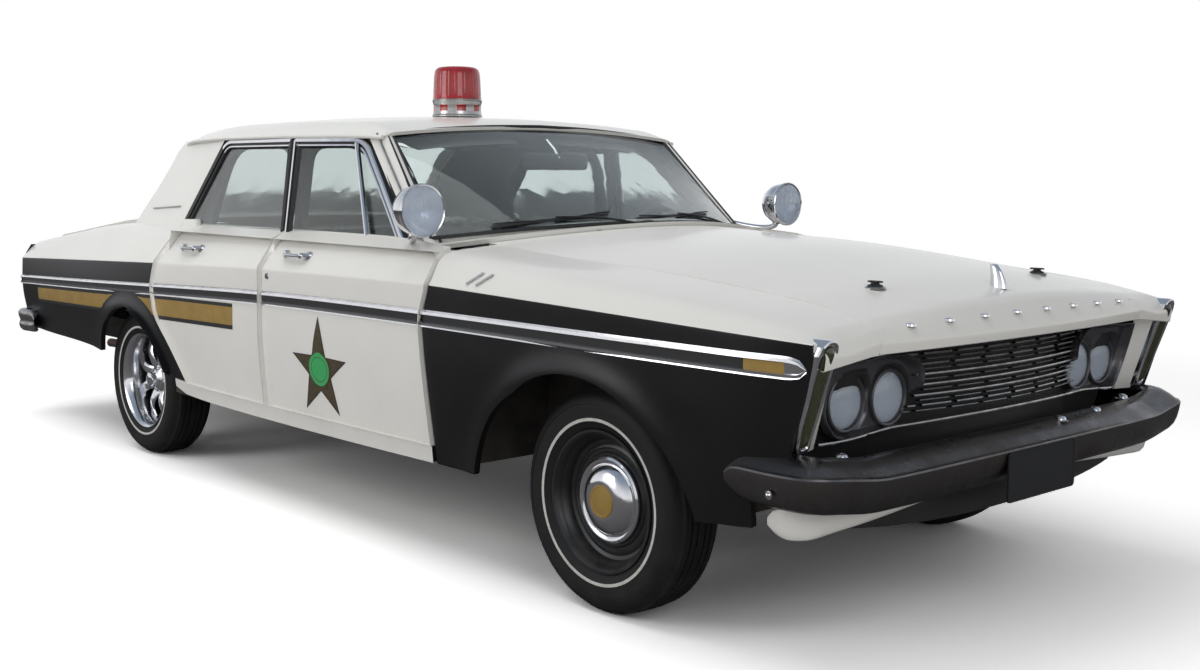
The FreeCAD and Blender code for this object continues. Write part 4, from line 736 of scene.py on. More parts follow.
def rounded(corners, radius, steps=6):
    """A closed loop through corners, each cut by a smooth arc that starts radius before it."""
    corners = np.array(corners, float)
    before, after = np.roll(corners, 1, 0), np.roll(corners, -1, 0)
    into = (before - corners) / np.linalg.norm(before - corners, axis=1, keepdims=True)
    out = (after - corners) / np.linalg.norm(after - corners, axis=1, keepdims=True)
    t = np.linspace(0, 1, steps)[None, :, None]
    a, c = (corners + into * radius)[:, None], (corners + out * radius)[:, None]
    return (a * (1 - t) ** 2 + 2 * corners[:, None] * t * (1 - t) + c * t**2).reshape(-1, corners.shape[1])


def ringed(loop, centre, shares):
    """Rings of a loop drawn towards a centre, or towards a line of centres of equal length."""
    return np.stack([np.asarray(centre) + (loop - centre) * share for share in shares])


plate_low, plate_high = np.array(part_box("front_plate")) + [(0, 0, .033), (0, 0, 0)]
plate_loop = rounded([(plate_low[1], plate_low[2]), (plate_high[1], plate_low[2]),
                      (plate_high[1], plate_high[2]), (plate_low[1], plate_high[2])], .014)
plate_rings = ringed(plate_loop, plate_loop.mean(0), [1, 1, .985, .965, .955, .5, 1e-3])
plate_x = plate_high[0] - np.array([.006, .001, 0, .0005, .0025, .0025, .0025])
plate = np.concatenate([np.broadcast_to(plate_x[:, None, None], plate_rings.shape[:2] + (1,)), plate_rings], -1)
plate_paint = finish("plate_paint", (0.006, 0.006, 0.007), 0.6, dust=(0.03, 0.03, 0.028), amount=0.2, bump=0.08,
                     bump_scale=200.0)
make("front_plate_blank", plate, "body", plate_paint, replaces="front_plate", closed=ROUND, facing=(1, 0, 0))

# ---------------------------------------------------------------- Grille
# A mat of thin pressed bars between the lamps: three bright bars run right across and
# rows of short dashes fill the rest, on a dark backing, in a thin bright frame.
FACE = {"ahead": .838, "sweep": .096, "rake": .060, "side": .741, "top": .797, "bottom": .570,
        "sunk": .062}
aged_chrome = finish("grille_chrome", (0.46, 0.45, 0.44), 0.22, dust=(0.04, 0.038, 0.035), amount=0.8,
                     scale=20.0, rougher=0.3, fade_height=2.0, Metallic=1.0)


def face_x(y, z, back=0.0):
    """x of the front face: swept back to the sides as y squared, raked in at its foot, and
    sunk between the lamps."""
    share = (y / FACE["side"]) ** 2
    side = np.clip((np.abs(y) - .45) / .25, 0, 1)
    sunk = FACE["sunk"] * (1 - side * side * (3 - 2 * side))
    return front + FACE["ahead"] - sunk - share * (FACE["sweep"] + FACE["rake"] * (FACE["top"] - z)
                                                   / 0.227) - back


def face_bottom(y):
    """The grille's lower edge climbs towards the middle."""
    return FACE["bottom"] + 0.030 * (1 - (y / FACE["side"]) ** 2)


def strip(y, z, thick, depth, back):
    """A bar across the face: its square section carried along y."""
    corners = np.array([(0, -thick / 2), (0.0015, 0), (0, thick / 2), (-depth, thick / 2),
                        (-depth, -thick / 2)])
    return np.stack([np.stack([face_x(y, z, back) + a, y, z + b + 0 * y], -1) for a, b in corners], 1)


bars, rows, lowest = [], 13, 0.622


def bar_end(z):
    """How far a bar reaches to each side: least at mid height, where the lamps' frame bulges."""
    return .392 + .055 * np.clip(abs(z - .690) / .09, 0, 1) ** 1.5


for row in range(rows):
    z = 0.786 - row * (0.786 - lowest) / (rows - 1)
    if row in (5, 7, 9):
        bars.append(strip(np.linspace(-1, 1, 34) * bar_end(z), z, .0062, .012, .012))
        continue
    shift = 0.010 * (row % 3) - 0.01
    for k in range(-4, 4):
        y0 = k * 0.130 + shift + 0.012
        y = np.clip(np.linspace(y0, y0 + 0.106, 5), -bar_end(z), bar_end(z))
        if np.ptp(y) > .01:
            bars.append(strip(y, z, .0052 if row % 2 else .0036, .012, .014))
make("grille_bars", bars, "body", aged_chrome, replaces="grille", closed=ROUND)
back_y = np.linspace(-.745, .745, 40)[None, :]
back_z = np.linspace(.43, .815, 10)[:, None]
backing = np.stack(np.broadcast_arrays(face_x(back_y, back_z, .050), back_y, back_z), -1)
make("grille_backing", backing, "body", black_trim, replaces="front_panel", facing=(1, 0, 0), wall=.002)
frame_y = np.linspace(-1, 1, 60)
frame_top = strip(frame_y * .735, FACE["top"] - .004, .006, .02, .004)
frame_low = strip(frame_y * .735, 0.0, .007, .02, .000)
frame_low[..., 2] += face_bottom(frame_y * .735)[:, None]
frame_low[..., 0] = face_x(frame_low[..., 1], face_bottom(frame_low[..., 1])) + (frame_low[..., 0] - face_x(
    frame_low[..., 1], 0.0))
make("grille_frame", [frame_top, frame_low], "body", aged_chrome, closed=ROUND)

# ---------------------------------------------------------------- Headlamps
# Two sealed-beam lamps a side in a dark die-cast bezel, dished, with a rounded inner end.
bezel_grey = finish("bezel_grey", (0.11, 0.11, 0.12), 0.30, dust=(0.16, 0.15, 0.14), amount=0.4, scale=12.0,
                    rougher=0.3, fade_height=2.0, Metallic=0.75)
lamp_low, lamp_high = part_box("headlamps")
LAMP_Z = (lamp_low[2] + lamp_high[2]) / 2
LAMPS = ((lamp_high[1] - .073, front + .682), (lamp_high[1] - .073 - .159, front + .694))  # y, x
LAMP_R = .073
bezel_loop = rounded([(.695, .582), (.738, .640), (.746, .700), (.738, .778), (.560, .784), (.440, .776),
                      (.388, .742), (.386, .690), (.398, .640), (.440, .590), (.560, .582)], .022, 5)
steps = np.linspace(0, 1, 4, endpoint=False)
bezel_loop = np.concatenate([bezel_loop + (np.roll(bezel_loop, -1, 0) - bezel_loop) * t for t in steps],
                            1).reshape(-1, 2)
spine = np.stack([np.clip(bezel_loop[:, 0], LAMPS[1][0] + .02, LAMPS[0][0] - .02),
                  np.full(len(bezel_loop), LAMP_Z)], -1)
shares = np.concatenate([[1, 1], np.linspace(1, .0, 40)])
bezel = ringed(bezel_loop, spine, shares)
rim_fall = np.clip((1 - shares) / .14, 0, 1)
depth = 0.003 + 0.034 * (rim_fall**2 * (3 - 2 * rim_fall))[:, None]
depth = depth + 0 * bezel[..., 0]
depth[0] = 0.030
bezel_x = face_x(bezel[..., 0], bezel[..., 1]) - depth + 0.006
for y, x in LAMPS:
    near = np.clip((LAMP_R + .018 - np.hypot(bezel[..., 0] - y, bezel[..., 1] - LAMP_Z)) / .014, 0, 1)
    bezel_x = bezel_x + (x - .004 - bezel_x) * near * near * (3 - 2 * near)
bezel = np.concatenate([bezel_x[..., None], bezel], -1)
lamp_glass = bpy.data.materials.new("lamp_glass")
lamp_tree, lamp_shader = nodes_of(lamp_glass)
for key, value in (("Base Color", (0.78, 0.86, 0.97, 1)), ("Roughness", 0.05), ("IOR", 1.45),
                   ("Transmission Weight", 0.60)):
    lamp_shader.inputs[key].default_value = value
flutes = add(lamp_tree, "TexWave", wave_type="BANDS", bands_direction="Y", in_Scale=42.0, in_Distortion=0.0)
flute_place = add(lamp_tree, "TexCoord")
flute_bump = add(lamp_tree, "Bump", in_Strength=0.25, in_Distance=0.002)
join(lamp_tree, (flute_place, "Object", flutes, "Vector"), (flutes, "Fac", flute_bump, "Height"),
     (flute_bump, "Normal", lamp_shader, "Normal"))
RING = np.array([(.0655, -.012), (.0655, .003), (.068, .007), (.071, .008), (.0745, .006), (.0765, -.012)])
LENS = np.array([(.0001, .0115), (.020, .0108), (.038, .0085), (.054, .0042), (.062, .0010), (.0654, -.0020)])
BOWL = np.array([(.0648, -.003), (.060, -.011), (.048, -.023), (.032, -.031), (.014, -.036), (.0001, -.037)])
make_pair("headlamp_bezel_*", bezel, "body", bezel_grey, closed=ROUND, facing=(1, 0, 0), wall=.0015,
          replaces="headlamp_bezels")
rings, lenses, bowls = [], [], []
for y, x in LAMPS:
    for _, sign in SIDES:
        place = (x, sign * y, LAMP_Z)
        rings.append(turned(RING, place, "x", 64))
        lenses.append(turned(LENS, place, "x", 64))
        bowls.append(turned(BOWL, place, "x", 64))
make("headlamp_rings", rings, "body", bezel_grey, replaces="headlamps", slot="chrome", closed=ROUND)
make("headlamp_lenses", lenses, "body", lamp_glass, closed=ROUND, facing=(1, 0, 0), wall=.003)
make("headlamp_bowls", bowls, "body", chrome, closed=ROUND, facing=(1, 0, 0))

# ---------------------------------------------------------------- Parking lamps
# Tall lamps on the fender ends, leaning forward: a dark domed lens in a chrome frame that
# is rounded over the top.
dark_lens = finish("dark_lens", (0.030, 0.032, 0.014), 0.16, dust=(0.10, 0.10, 0.05), amount=0.5, scale=30.0,
                   rougher=0.2, fade_height=2.0, Coat_Weight=0.6, Coat_Roughness=0.08)


def pod_x(z):
    """x of the lamp's leaning front."""
    return front + .709 + (z - .567) * .325


pod_loop = rounded([(.806, .570), (.822, .563), (.842, .563), (.853, .575), (.868, .640), (.877, .760),
                    (.877, .812), (.870, .836), (.852, .849), (.828, .849), (.811, .838), (.803, .810)], .006,
                   4)
pod_spine = np.stack([.836 + 0 * pod_loop[:, 0], np.clip(pod_loop[:, 1], .60, .81)], -1)
BAND = np.array([(-.050, 1.00), (-.004, 1.00), (.003, .95), (.006, .85), (.005, .68), (-.001, .55),
                 (-.016, .52)])
pod_flat = ringed(pod_loop, pod_spine, BAND[:, 1])
pod_band = np.concatenate([(pod_x(pod_flat[..., 1]) + BAND[:, :1])[..., None], pod_flat], -1)
lens_edge = pod_band[-2]
lens_middle = np.concatenate([pod_x(pod_spine[:, 1])[:, None], pod_spine], 1)
steps = np.concatenate([[0], np.linspace(0, 1, 12)])
dome = np.stack([.004 + .010 * np.sin(steps * np.pi / 2), 0 * steps, 0 * steps], -1)
dome[0, 0] = -.010
pod_lens = lens_edge + (lens_middle - lens_edge) * steps[:, None, None] + dome[:, None, :]
make_pair("parking_lamp_frame_*", pod_band, "body", chrome, replaces="parking_lamps", closed=ROUND,
          facing=(1, 0, 0), wall=.002)
make_pair("parking_lamp_lens_*", pod_lens, "body", dark_lens, closed=ROUND, facing=(1, 0, 0), wall=.002)
cheek_z = np.linspace(.560, .800, 8)[:, None]
cheek_t = np.linspace(0, 1, 8)[None, :]
cheek_y = FACE["side"] + (.812 - FACE["side"]) * cheek_t + 0 * cheek_z
cheek = np.stack([face_x(FACE["side"], cheek_z, .006) * (1 - cheek_t) + (pod_x(cheek_z) - .012) * cheek_t,
                  cheek_y, cheek_z + 0 * cheek_t], -1)
make("front_cheeks", [cheek, cheek * (1, -1, 1)], "body", white_paint, facing=(1, 0, 0), wall=.0015)

# ---------------------------------------------------------------- Pillars and window frames
# The white front pillars, the dark centre posts, and the chromed frames that stand on the
# doors round the glass, with a drip rail above them under the roof's edge.
PILLAR_LOW = np.array([(front - .900, .722, .990), (front - .901, .747, .990), (front - .927, .764, .990),
                       (front - .930, .763, .990), (front - .958, .785, .990), (front - .966, .770, .990)])
PILLAR_HIGH = np.array([(front - 1.264, .662, 1.350), (front - 1.264, .686, 1.354),
                        (front - 1.300, .695, 1.356), (front - 1.304, .694, 1.356),
                        (front - 1.346, .706, 1.356), (front - 1.354, .690, 1.352)])
pillar_t = np.linspace(0, 1, 24)[:, None, None]
pillar = PILLAR_LOW[None] * (1 - pillar_t) + PILLAR_HIGH[None] * pillar_t


def tube(path, radius, count=10, flat=1.0, up=(0, 0, 1)):
    """A round bar along a path: rings of radius, flattened along up, square to its tangent."""
    path = np.array(path, float)
    tangent = np.gradient(path, axis=0)
    tangent /= np.linalg.norm(tangent, axis=1, keepdims=True)
    aside = np.cross(tangent, np.array(up, float))
    aside /= np.linalg.norm(aside, axis=1, keepdims=True)
    over = np.cross(aside, tangent)
    angle = np.linspace(0, 2 * np.pi, count, endpoint=False)
    reach = np.broadcast_to(np.asarray(radius, float), len(path))[:, None, None]
    rings = path[:, None] + reach * (aside[:, None] * np.cos(angle)[None, :, None]
                                     + flat * over[:, None] * np.sin(angle)[None, :, None])
    return np.concatenate([path[None, 0] + 0 * rings[:1], rings, path[None, -1] + 0 * rings[-1:]])


PILLAR_INNER = np.array([[(front - .899, .722, .990), (front - .904, .706, .990), (front - .954, .742, .990),
                          (front - .966, .768, .990)], [(front - 1.263, .662, 1.352),
                                                        (front - 1.270, .648, 1.352),
                                                        (front - 1.348, .668, 1.352),
                                                        (front - 1.354, .688, 1.352)]])
make_pair("front_pillar_*", pillar, "body", white_paint, facing=(1, 0, 0.3), wall=.0015)
make_pair("front_pillar_trim_*", PILLAR_INNER, "body", vinyl, facing=(0, -1, 0), wall=.001)
screen_low = np.array([(front - .930, .741, 1.010), (front - .880, .680, 1.018), (front - .780, .460, 1.040),
                       (front - .712, .230, 1.050), (front - .695, 0, 1.052)])
screen_high = np.array([(front - 1.274, .678, 1.350), (front - 1.274, .500, 1.372),
                        (front - 1.268, .250, 1.389), (front - 1.266, 0, 1.394)])
shares = np.linspace(0, 1, 30)
low_line = np.stack([eased(shares, np.linspace(0, 1, 5), column, .9) for column in screen_low.T], -1)
high_line = np.stack([eased(shares, np.linspace(0, 1, 4), column, .9) for column in screen_high.T], -1)
side_line = blend(screen_low[0], screen_high[0], 16)
half_screen = np.concatenate([low_line[::-1], side_line[1:-1], high_line])
screen_trims = [tube(half_screen * (1, sign, 1) + (.003, 0, .003), .0065, 8) for _, sign in SIDES]
drip = [roof_point(np.linspace(rear + .240, front - 1.262, 60), 0 * np.ones(60)) * (1, sign, 1)
        + np.array([0, sign * .007, -.006]) for _, sign in SIDES]
pillar_rail = [blend(np.array([front - .929, sign * .767, .992]), np.array([front - 1.302, sign * .698, 1.357]),
                     20) for _, sign in SIDES]
make("windshield_rubber", screen_trims, "body", black_trim, closed=ROUND)
make("pillar_rails", [tube(p, .0045, 8) for p in pillar_rail], "body", aged_chrome, closed=ROUND)
make("drip_rails", [tube(p, .0075, 8) for p in drip], "body", white_paint, closed=ROUND)
post_z = np.linspace(.93, 1.357, 12)
POST_RING = np.array([(-.030, .014), (.030, .014), (.030, .045), (-.030, .045)])
posts = [np.stack([wall_point(POST + dx, post_z, depth) for dx, depth in POST_RING], 1) * (1, sign, 1)
         for _, sign in SIDES]
make("centre_posts", posts, "body", black_trim, closed=ROUND)

FRAME_BAND = np.array([(0, -.030), (0, -.002), (.003, .002), (.014, .002), (.016, -.005), (.022, -.005),
                       (.024, -.002), (.029, -.002), (.031, -.009), (.038, -.015), (.038, -.030)])
BRIGHT = np.array([1, 0, 0, 1, 1, 0, 0, 1, 1, 1, 1])  # face by face round the band, 0 where it is chrome


def denser(loop, parts):
    """A closed loop with each of its runs divided into equal parts."""
    share = np.arange(parts)[None, :, None] / parts
    return (loop[:, None] * (1 - share) + np.roll(loop, -1, 0)[:, None] * share).reshape(-1, loop.shape[1])


def inward_of(loop):
    """Unit vectors in a loop's plane that point into it, square to its run."""
    ahead = np.roll(loop, -1, 0) - np.roll(loop, 1, 0)
    ahead /= np.linalg.norm(ahead, axis=1, keepdims=True) + 1e-9
    inward = np.stack([-ahead[:, 1], ahead[:, 0]], -1)
    return -inward if (inward * (loop.mean(0) - loop)).sum() < 0 else inward


def banded(loop, band, legs, top, bottom):
    """A band of (across, out) carried round a loop in the leaning wall. Its width is scaled by
    legs, top and bottom, each by the square of its share of the inward direction."""
    inward = inward_of(loop)
    up = inward[:, 1]
    scale = legs * inward[:, 0] ** 2 + top * np.clip(-up, 0, 1) ** 2 + bottom * np.clip(up, 0, 1) ** 2
    return np.stack([wall_point(*(loop + inward * (across * scale)[:, None]).T, -out) for across, out in band],
                    1)


def window_loop(corners, radii):
    """A window's outline with a radius for each corner."""
    return denser(rounded(corners, np.array(radii)[:, None], 6), 3)


WINDOWS = {  # corners and radii: low end of the leaning leg, top, top at the post, low at the post
    "front": ([(front - .965, .986), (front - 1.345, 1.345), (POST + .006, 1.346), (POST + .006, .983)],
              [.012, .060, .014, .012]),
    "rear": ([(rear + .376, .986), (rear + .694, 1.345), (POST - .006, 1.346), (POST - .006, .983)],
             [.012, .060, .014, .012])}
for end, (corners, radii) in WINDOWS.items():
    loop = window_loop(corners, radii)
    at_post = abs(loop[:, 0] - POST) < .03
    frame_band = banded(loop, FRAME_BAND, np.where(at_post, .80, 1.0 if end == "front" else 1.35), 1.0, .30)
    steep = abs(inward_of(loop)[:, 0]) > .6
    coats = np.broadcast_to(BRIGHT, (len(loop), 11)).copy()
    coats[(steep & (end == "rear")) | (inward_of(loop)[:, 1] > .7)] = 1
    coats[steep & at_post, 3:] = 1
    seal_loop = loop[(loop[:, 1] > 1.0)]
    start = np.argmax(np.linalg.norm(seal_loop - np.roll(seal_loop, 1, 0), axis=1))
    make_pair(f"{end}_window_frame_*", frame_band, f"{end}_door_*", [chrome, black_trim], slot="black_paint",
              closed=(True, True), paint=[coats])
    seal = banded(loop, [(-.014, -.034), (-.012, -.012), (.002, -.016), (.004, -.034)], 1.0, 1.0, 1.0)
    seal = np.roll(seal[loop[:, 1] > 1.0], -start, 0)
    make_pair(f"{end}_door_seal_*", seal, "body", black_trim, facing=(0, 1, 0), wall=.001)
GARNISH = {  # the dark mouldings inside the cabin round each door's window
    "front": ([(front - 1.062, .990), (front - 1.400, 1.308), (POST + .028, 1.308), (POST + .028, .990)],
              [.020, .090, .060, .020]),
    "rear": ([(rear + .545, .990), (rear + .660, 1.308), (POST - .075, 1.308), (POST - .075, .990)],
             [.020, .110, .110, .020])}
for end, (corners, radii) in GARNISH.items():
    loop = window_loop(corners, radii)
    reach = np.where(abs(loop[:, 0] - POST) < .12, .45, 1.45 if end == "rear" else 1.0)
    moulding_band = banded(loop, [(0, -.080), (0, -.056), (-.008, -.050), (-.080, -.046)], reach, .50, .2)
    upper = loop[:, 1] > 1.0
    start = np.argmax(np.linalg.norm(loop[upper] - np.roll(loop[upper], 1, 0), axis=1))
    make_pair(f"{end}_garnish_*", np.roll(moulding_band[upper], -start, 0), "body", vinyl, facing=(0, 1, 0),
              wall=.0015)
sail_trim_z = np.linspace(.955, 1.335, 16)[:, None]
sail_trim_x = np.interp(sail_trim_z, [.948, .983, 1.352], [rear + .43, rear + .47,
                                                           rear + .66]) * np.ones((1, 12))
sail_trim_back = np.interp(sail_trim_z, [.948, 1.086, 1.256, 1.345], rear + np.array([-.20, -.05, .15, .26]))
sail_trim_x += (sail_trim_back - sail_trim_x) * np.linspace(0, 1, 12)[None, :]
sail_trim = wall_point(sail_trim_x, sail_trim_z + 0 * sail_trim_x, .048)
KICK = np.array([(rear + .376, .975), (rear + .414, 1.030), (rear + .530, 1.032), (rear + .550, .975)])
kick_loop = rounded(KICK, .008, 4)
kick_rings = ringed(kick_loop, kick_loop.mean(0), [1, 1, .97, .5, .01])
make_pair("sail_trim_*", sail_trim, "body", vinyl, facing=(0, -1, 0), wall=.0015)
kick = np.stack([wall_point(*ring.T, depth) for ring, depth in zip(kick_rings,
                                                                   (.020, -.002, -.005, -.005, -.005))])
make_pair("rear_door_kick_*", kick, "rear_door_*", white_paint, closed=ROUND, facing=(0, 1, 0))
for side, sign in SIDES:
    bar = blend(wall_point(front - 1.180, .996, -.001), wall_point(front - 1.375, 1.325, -.001),
                14) * (1, sign, 1)
    make("vent_divider_" + side, tube(bar, .009, 8), "front_door_" + side, chrome, closed=ROUND)
    belts = {"front": np.linspace(front - .960, POST + GAP, 30),
             "rear": np.linspace(POST - GAP, rear + .548, 30)}
    for end, xs in belts.items():
        line = wall_point(xs, .990, -.004) * (1, sign, 1)
        make(f"{end}_belt_sweep_{side}", tube(line, .006, 8), f"{end}_door_{side}", black_trim, closed=ROUND)

# ---------------------------------------------------------------- Side mouldings and markings
# A two-ribbed chrome moulding with a dark insert runs the length of the car to a bullet
# tip with a gold insert; below it a plain gold band, and a plain star on each front door.
gold = finish("gold_leaf", (0.42, 0.27, 0.07), 0.38, dust=(0.20, 0.13, 0.05), amount=0.6, scale=14.0,
              rougher=0.2, fade_height=2.0, Metallic=0.35)
bronze = finish("bronze_foil", (0.115, 0.085, 0.045), 0.36, dust=(0.03, 0.025, 0.015), amount=0.7, scale=60.0,
                rougher=0.2, fade_height=2.0, Metallic=0.4)
green = finish("star_green", (0.03, 0.36, 0.10), 0.34, dust=(0.10, 0.50, 0.20), amount=0.4, scale=60.0,
               fade_height=2.0)
MOULD_LINE = np.array([(rear - 1.330, .680), (rear - 1.214, .687), (POST, .777), (front - .689, .785),
                       (front + .756, .779)])
MOULD = np.array([(-.023, 0), (-.021, .0065), (-.013, .0075), (-.010, .002), (.010, .002), (.013, .0075),
                  (.021, .0065), (.023, 0)])


def on_side(x, z, out=0.0):
    """Points of the left side at x and z, below the crease, pushed outwards."""
    x, z, out = np.broadcast_arrays(x, z, out)
    return body_point(x, line_at(x, z)) + out[..., None] * np.array([0.0, 1.0, 0.0])


def moulding(x_back, x_ahead):
    """The moulding's section along its line, narrower to the tail; its last 60 mm narrow to
    the tip as a half ellipse."""
    x = x_back + (x_ahead - x_back) * np.linspace(0, 1, 70)[:, None] ** .9
    width = np.interp(x, [rear - 1.33, front], [.76, 1.04])
    left = np.clip((front + .760 - x) / .060, 1e-4, 1)
    width = width * np.sqrt(1 - (1 - left) ** 2)
    z = eased(x, *MOULD_LINE.T) + MOULD[None, :, 0] * width
    return on_side(x + 0 * z, z, MOULD[None, :, 1] * np.minimum(1, width * 2)), x


INSERT = [0, 0, 0, 1, 0, 0, 0]
CUTS = {"quarter": (rear - 1.322, rear + .328 - GAP, "body"),
        "rear_door": (rear + .328 + GAP, POST - GAP, "rear_door"),
        "front_door": (POST + GAP, front - .703 - GAP, "front_door"),
        "fender": (front - .703 + GAP, front + .760, "body")}
for side, sign in SIDES:
    for panel, (x_back, x_ahead, body) in CUTS.items():
        grid, x = moulding(x_back, x_ahead)
        ribs = np.broadcast_to(INSERT, (len(x) - 1, 7)).copy()
        ribs[(x[1:, 0] > front + .600) & (x[1:, 0] < front + .705), 3] = 2
        ribs[x[1:, 0] > front + .705, 3] = 0
        make(f"moulding_{panel}_{side}", turned_in(grid, .004) * (1, sign, 1), body if body == "body"
             else f"{body}_{side}", [chrome, black_trim, gold], facing=(0, sign, 0),
             paint=[np.pad(ribs, ((1, 1), (1, 1)), mode="edge")])


def gold_band(x_back, x_ahead):
    """The band hangs under the moulding and keeps clear of the wheel arch."""
    u, v = np.linspace(0, 1, 60)[:, None], np.linspace(0, 1, 8)[None, :]
    x0, z0, radius = ARCH["rear"]
    middle = np.interp(x_back + (x_ahead(.66) - x_back) * u, [rear - 1.060, POST - .219], [.640, .690])
    x = x_back + (x_ahead(middle + (v - .5) * .07) - x_back) * u
    low = np.maximum(middle - .046, z0 + np.sqrt(np.clip(radius**2 - (x - x0) ** 2, 0, None)) + .016)
    high = np.minimum(middle + .046, eased(x, *MOULD_LINE.T) - .026)
    return on_side(x, low + (high - low) * v, .0012)


gap_at = lambda z: edge_x(line_at(np.full_like(z, rear + .330), z), REAR_GAP)
quarter_band = gold_band(rear - 1.060, lambda z: gap_at(np.asarray(z, float)) - GAP)
door_band = gold_band(POST - .219, lambda z: gap_at(np.asarray(z, float)) + GAP)
edges = np.zeros((59, 7), int)
edges[:, [0, -1]] = 1
for name, grid, body in (("quarter", quarter_band, "body"), ("rear_door", door_band, "rear_door_*")):
    make_pair(f"gold_band_{name}_*", grid, body, [gold, black_trim], facing=(0, 1, 0), wall=.0006,
              paint=[edges])
star_angle = np.arange(10) * np.pi / 5 + np.pi / 2
star_radius = np.where(np.arange(10) % 2 == 0, .182, .074)
star_corners = np.stack([star_radius * np.cos(star_angle), star_radius * np.sin(star_angle)], -1)
star_loop = (star_corners[:, None] + (np.roll(star_corners, -1, 0) - star_corners)[:, None]
             * np.linspace(0, 1, 8, endpoint=False)[None, :, None]).reshape(-1, 2)
star_rings = ringed(star_loop, (0, 0), [1, .94, .6, .3, .01])
disc_angle = np.linspace(0, 2 * np.pi, 48, endpoint=False)
disc_rings = np.stack([np.stack([r * np.cos(disc_angle), r * np.sin(disc_angle)], -1)
                       for r in (.070, .064, .050, .047, .001)])
for name, rings, lift, out, coats, marks in (
        ("star", star_rings, .556, .0012, [bronze, black_trim], [1, 0, 0, 0]),
        ("star_disc", disc_rings, .563, .0024, [green, bronze], [1, 0, 1, 0])):
    grid = on_side(front - 1.3135 + rings[..., 0], lift + rings[..., 1], out)
    make_pair(name + "_*", grid, "front_door_*", coats, closed=ROUND, facing=(0, 1, 0), wall=.0008,
              paint=[np.array(marks)[:, None]])

# ---------------------------------------------------------------- Door handles and badges
# Chromed pull handles with a push button on the upper side, two slanted bars on each
# fender, and a short plain bar on each sail panel.
for side, sign in SIDES:
    for end, x in (("front", front - 1.503), ("rear", front - 2.327)):
        run = np.linspace(-.085, .085, 16)
        root = body_point(x + run, 3.42)
        root[:, 1] += .006 + .020 * np.clip(1 - (run / .085) ** 4, 0, 1)
        grip = tube(root * (1, sign, 1), .011 - .003 * (run / .085) ** 2, 10, .62)
        centre = body_point(x + .062, 3.42)
        button = turned([(.0001, .032), (.009, .031), (.011, .027), (.011, 0)], centre, "y", 20)
        pads = [turned([(.0001, .010), (.012, .009), (.015, .005), (.016, -.004)], body_point(x + dx, 3.42),
                       "y", 20) for dx in (-.078, .078)]
        make(f"{end}_handle_{side}", [g * (1, s, 1) for g, s in zip([grip, button] + pads,
                                                                    (1, sign, sign, sign))],
             f"{end}_door_{side}", chrome, closed=ROUND)
    slants = []
    for x in (front - .470, front - .425):
        ends = [body_point(x - .022, 3.18), body_point(x + .022, 3.62)]
        slants.append(tube((blend(*ends, 8) + (0, .003, .002)) * (1, sign, 1), .005, 8, .6))
    make("fender_bars_" + side, slants, "body", chrome, closed=ROUND)
    bar = blend(wall_point(rear - .010, 1.062, -.002), wall_point(rear + .340, 1.079, -.002), 16) * (1, sign, 1)
    make("sail_bar_" + side, tube(bar, .0055, 8, .6), "body", aged_chrome, closed=ROUND)
    lock = turned([(.0001, .004), (.009, .004), (.012, 0)], body_point(np.array(POST + .045), 2.75), "y", 20)
    make("door_lock_" + side, lock * (1, sign, 1), "front_door_" + side, chrome, closed=ROUND,
         facing=(0, sign, 0))

# ---------------------------------------------------------------- Tyres
# Bias-ply tyres with a thin white stripe: circumferential grooves cut the tread into ribs
# and the shoulders carry short radial cuts.
rubber = finish("rubber", (0.010, 0.010, 0.011), 0.60, dust=(0.045, 0.041, 0.036), amount=0.5, scale=14.0,
                rougher=0.2, fade_height=0.30, bump=0.12, bump_scale=260.0, Specular_IOR_Level=0.3)
stripe_white = finish("stripe_white", (0.66, 0.65, 0.62), 0.5, dust=(0.32, 0.29, 0.25), amount=0.6, scale=30.0,
                      fade_height=2.0, bump=0.1, bump_scale=300.0)
TYRE = np.array([(.199, .070), (.205, .076), (.214, .082), (.226, .0885), (.2275, .0900), (.2365, .0910),
                 (.238, .0905), (.262, .0955), (.275, .0925), (.2765, .0945), (.290, .0900), (.302, .0800),
                 (.3105, .0680), (.3155, .0620), (.3175, .0590), (.3185, .0500), (.3190, .0400), (.3110, .0385),
                 (.3110, .0345), (.3195, .0330), (.3198, .0180), (.3120, .0165), (.3120, .0125),
                 (.3200, .0110)])
tyre_half = np.concatenate([TYRE, TYRE[::-1] * (1, -1)])
TURNS = 72


def wheel_centre(end, sign):
    """Centre of a wheel, in the middle of its tyre."""
    low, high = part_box(f"{end}_tyre_{'left' if sign > 0 else 'right'}")
    return (np.array(low) + np.array(high)) / 2


for side, sign in SIDES:
    for end in ("front", "rear"):
        centre = wheel_centre(end, sign)
        tyre = turned(tyre_half * (1, sign), centre, "y", TURNS)
        turn = np.arange(TURNS) % 2
        shoulder = np.isin(np.arange(len(tyre_half)), [12, 13, len(tyre_half) - 13, len(tyre_half) - 14])
        cut = 1 - .018 * shoulder[:, None] * turn[None, :]
        tyre[..., 0] = centre[0] + (tyre[..., 0] - centre[0]) * cut
        tyre[..., 2] = centre[2] + (tyre[..., 2] - centre[2]) * cut
        stripe = np.zeros(len(tyre_half) - 1, int)
        stripe[4] = 1
        make(f"{end}_tyre_{side}_skin", tyre, f"{end}_wheel_{side}", [rubber, stripe_white],
             replaces=f"{end}_tyre_{side}", closed=ROUND, paint=[stripe[:, None]])

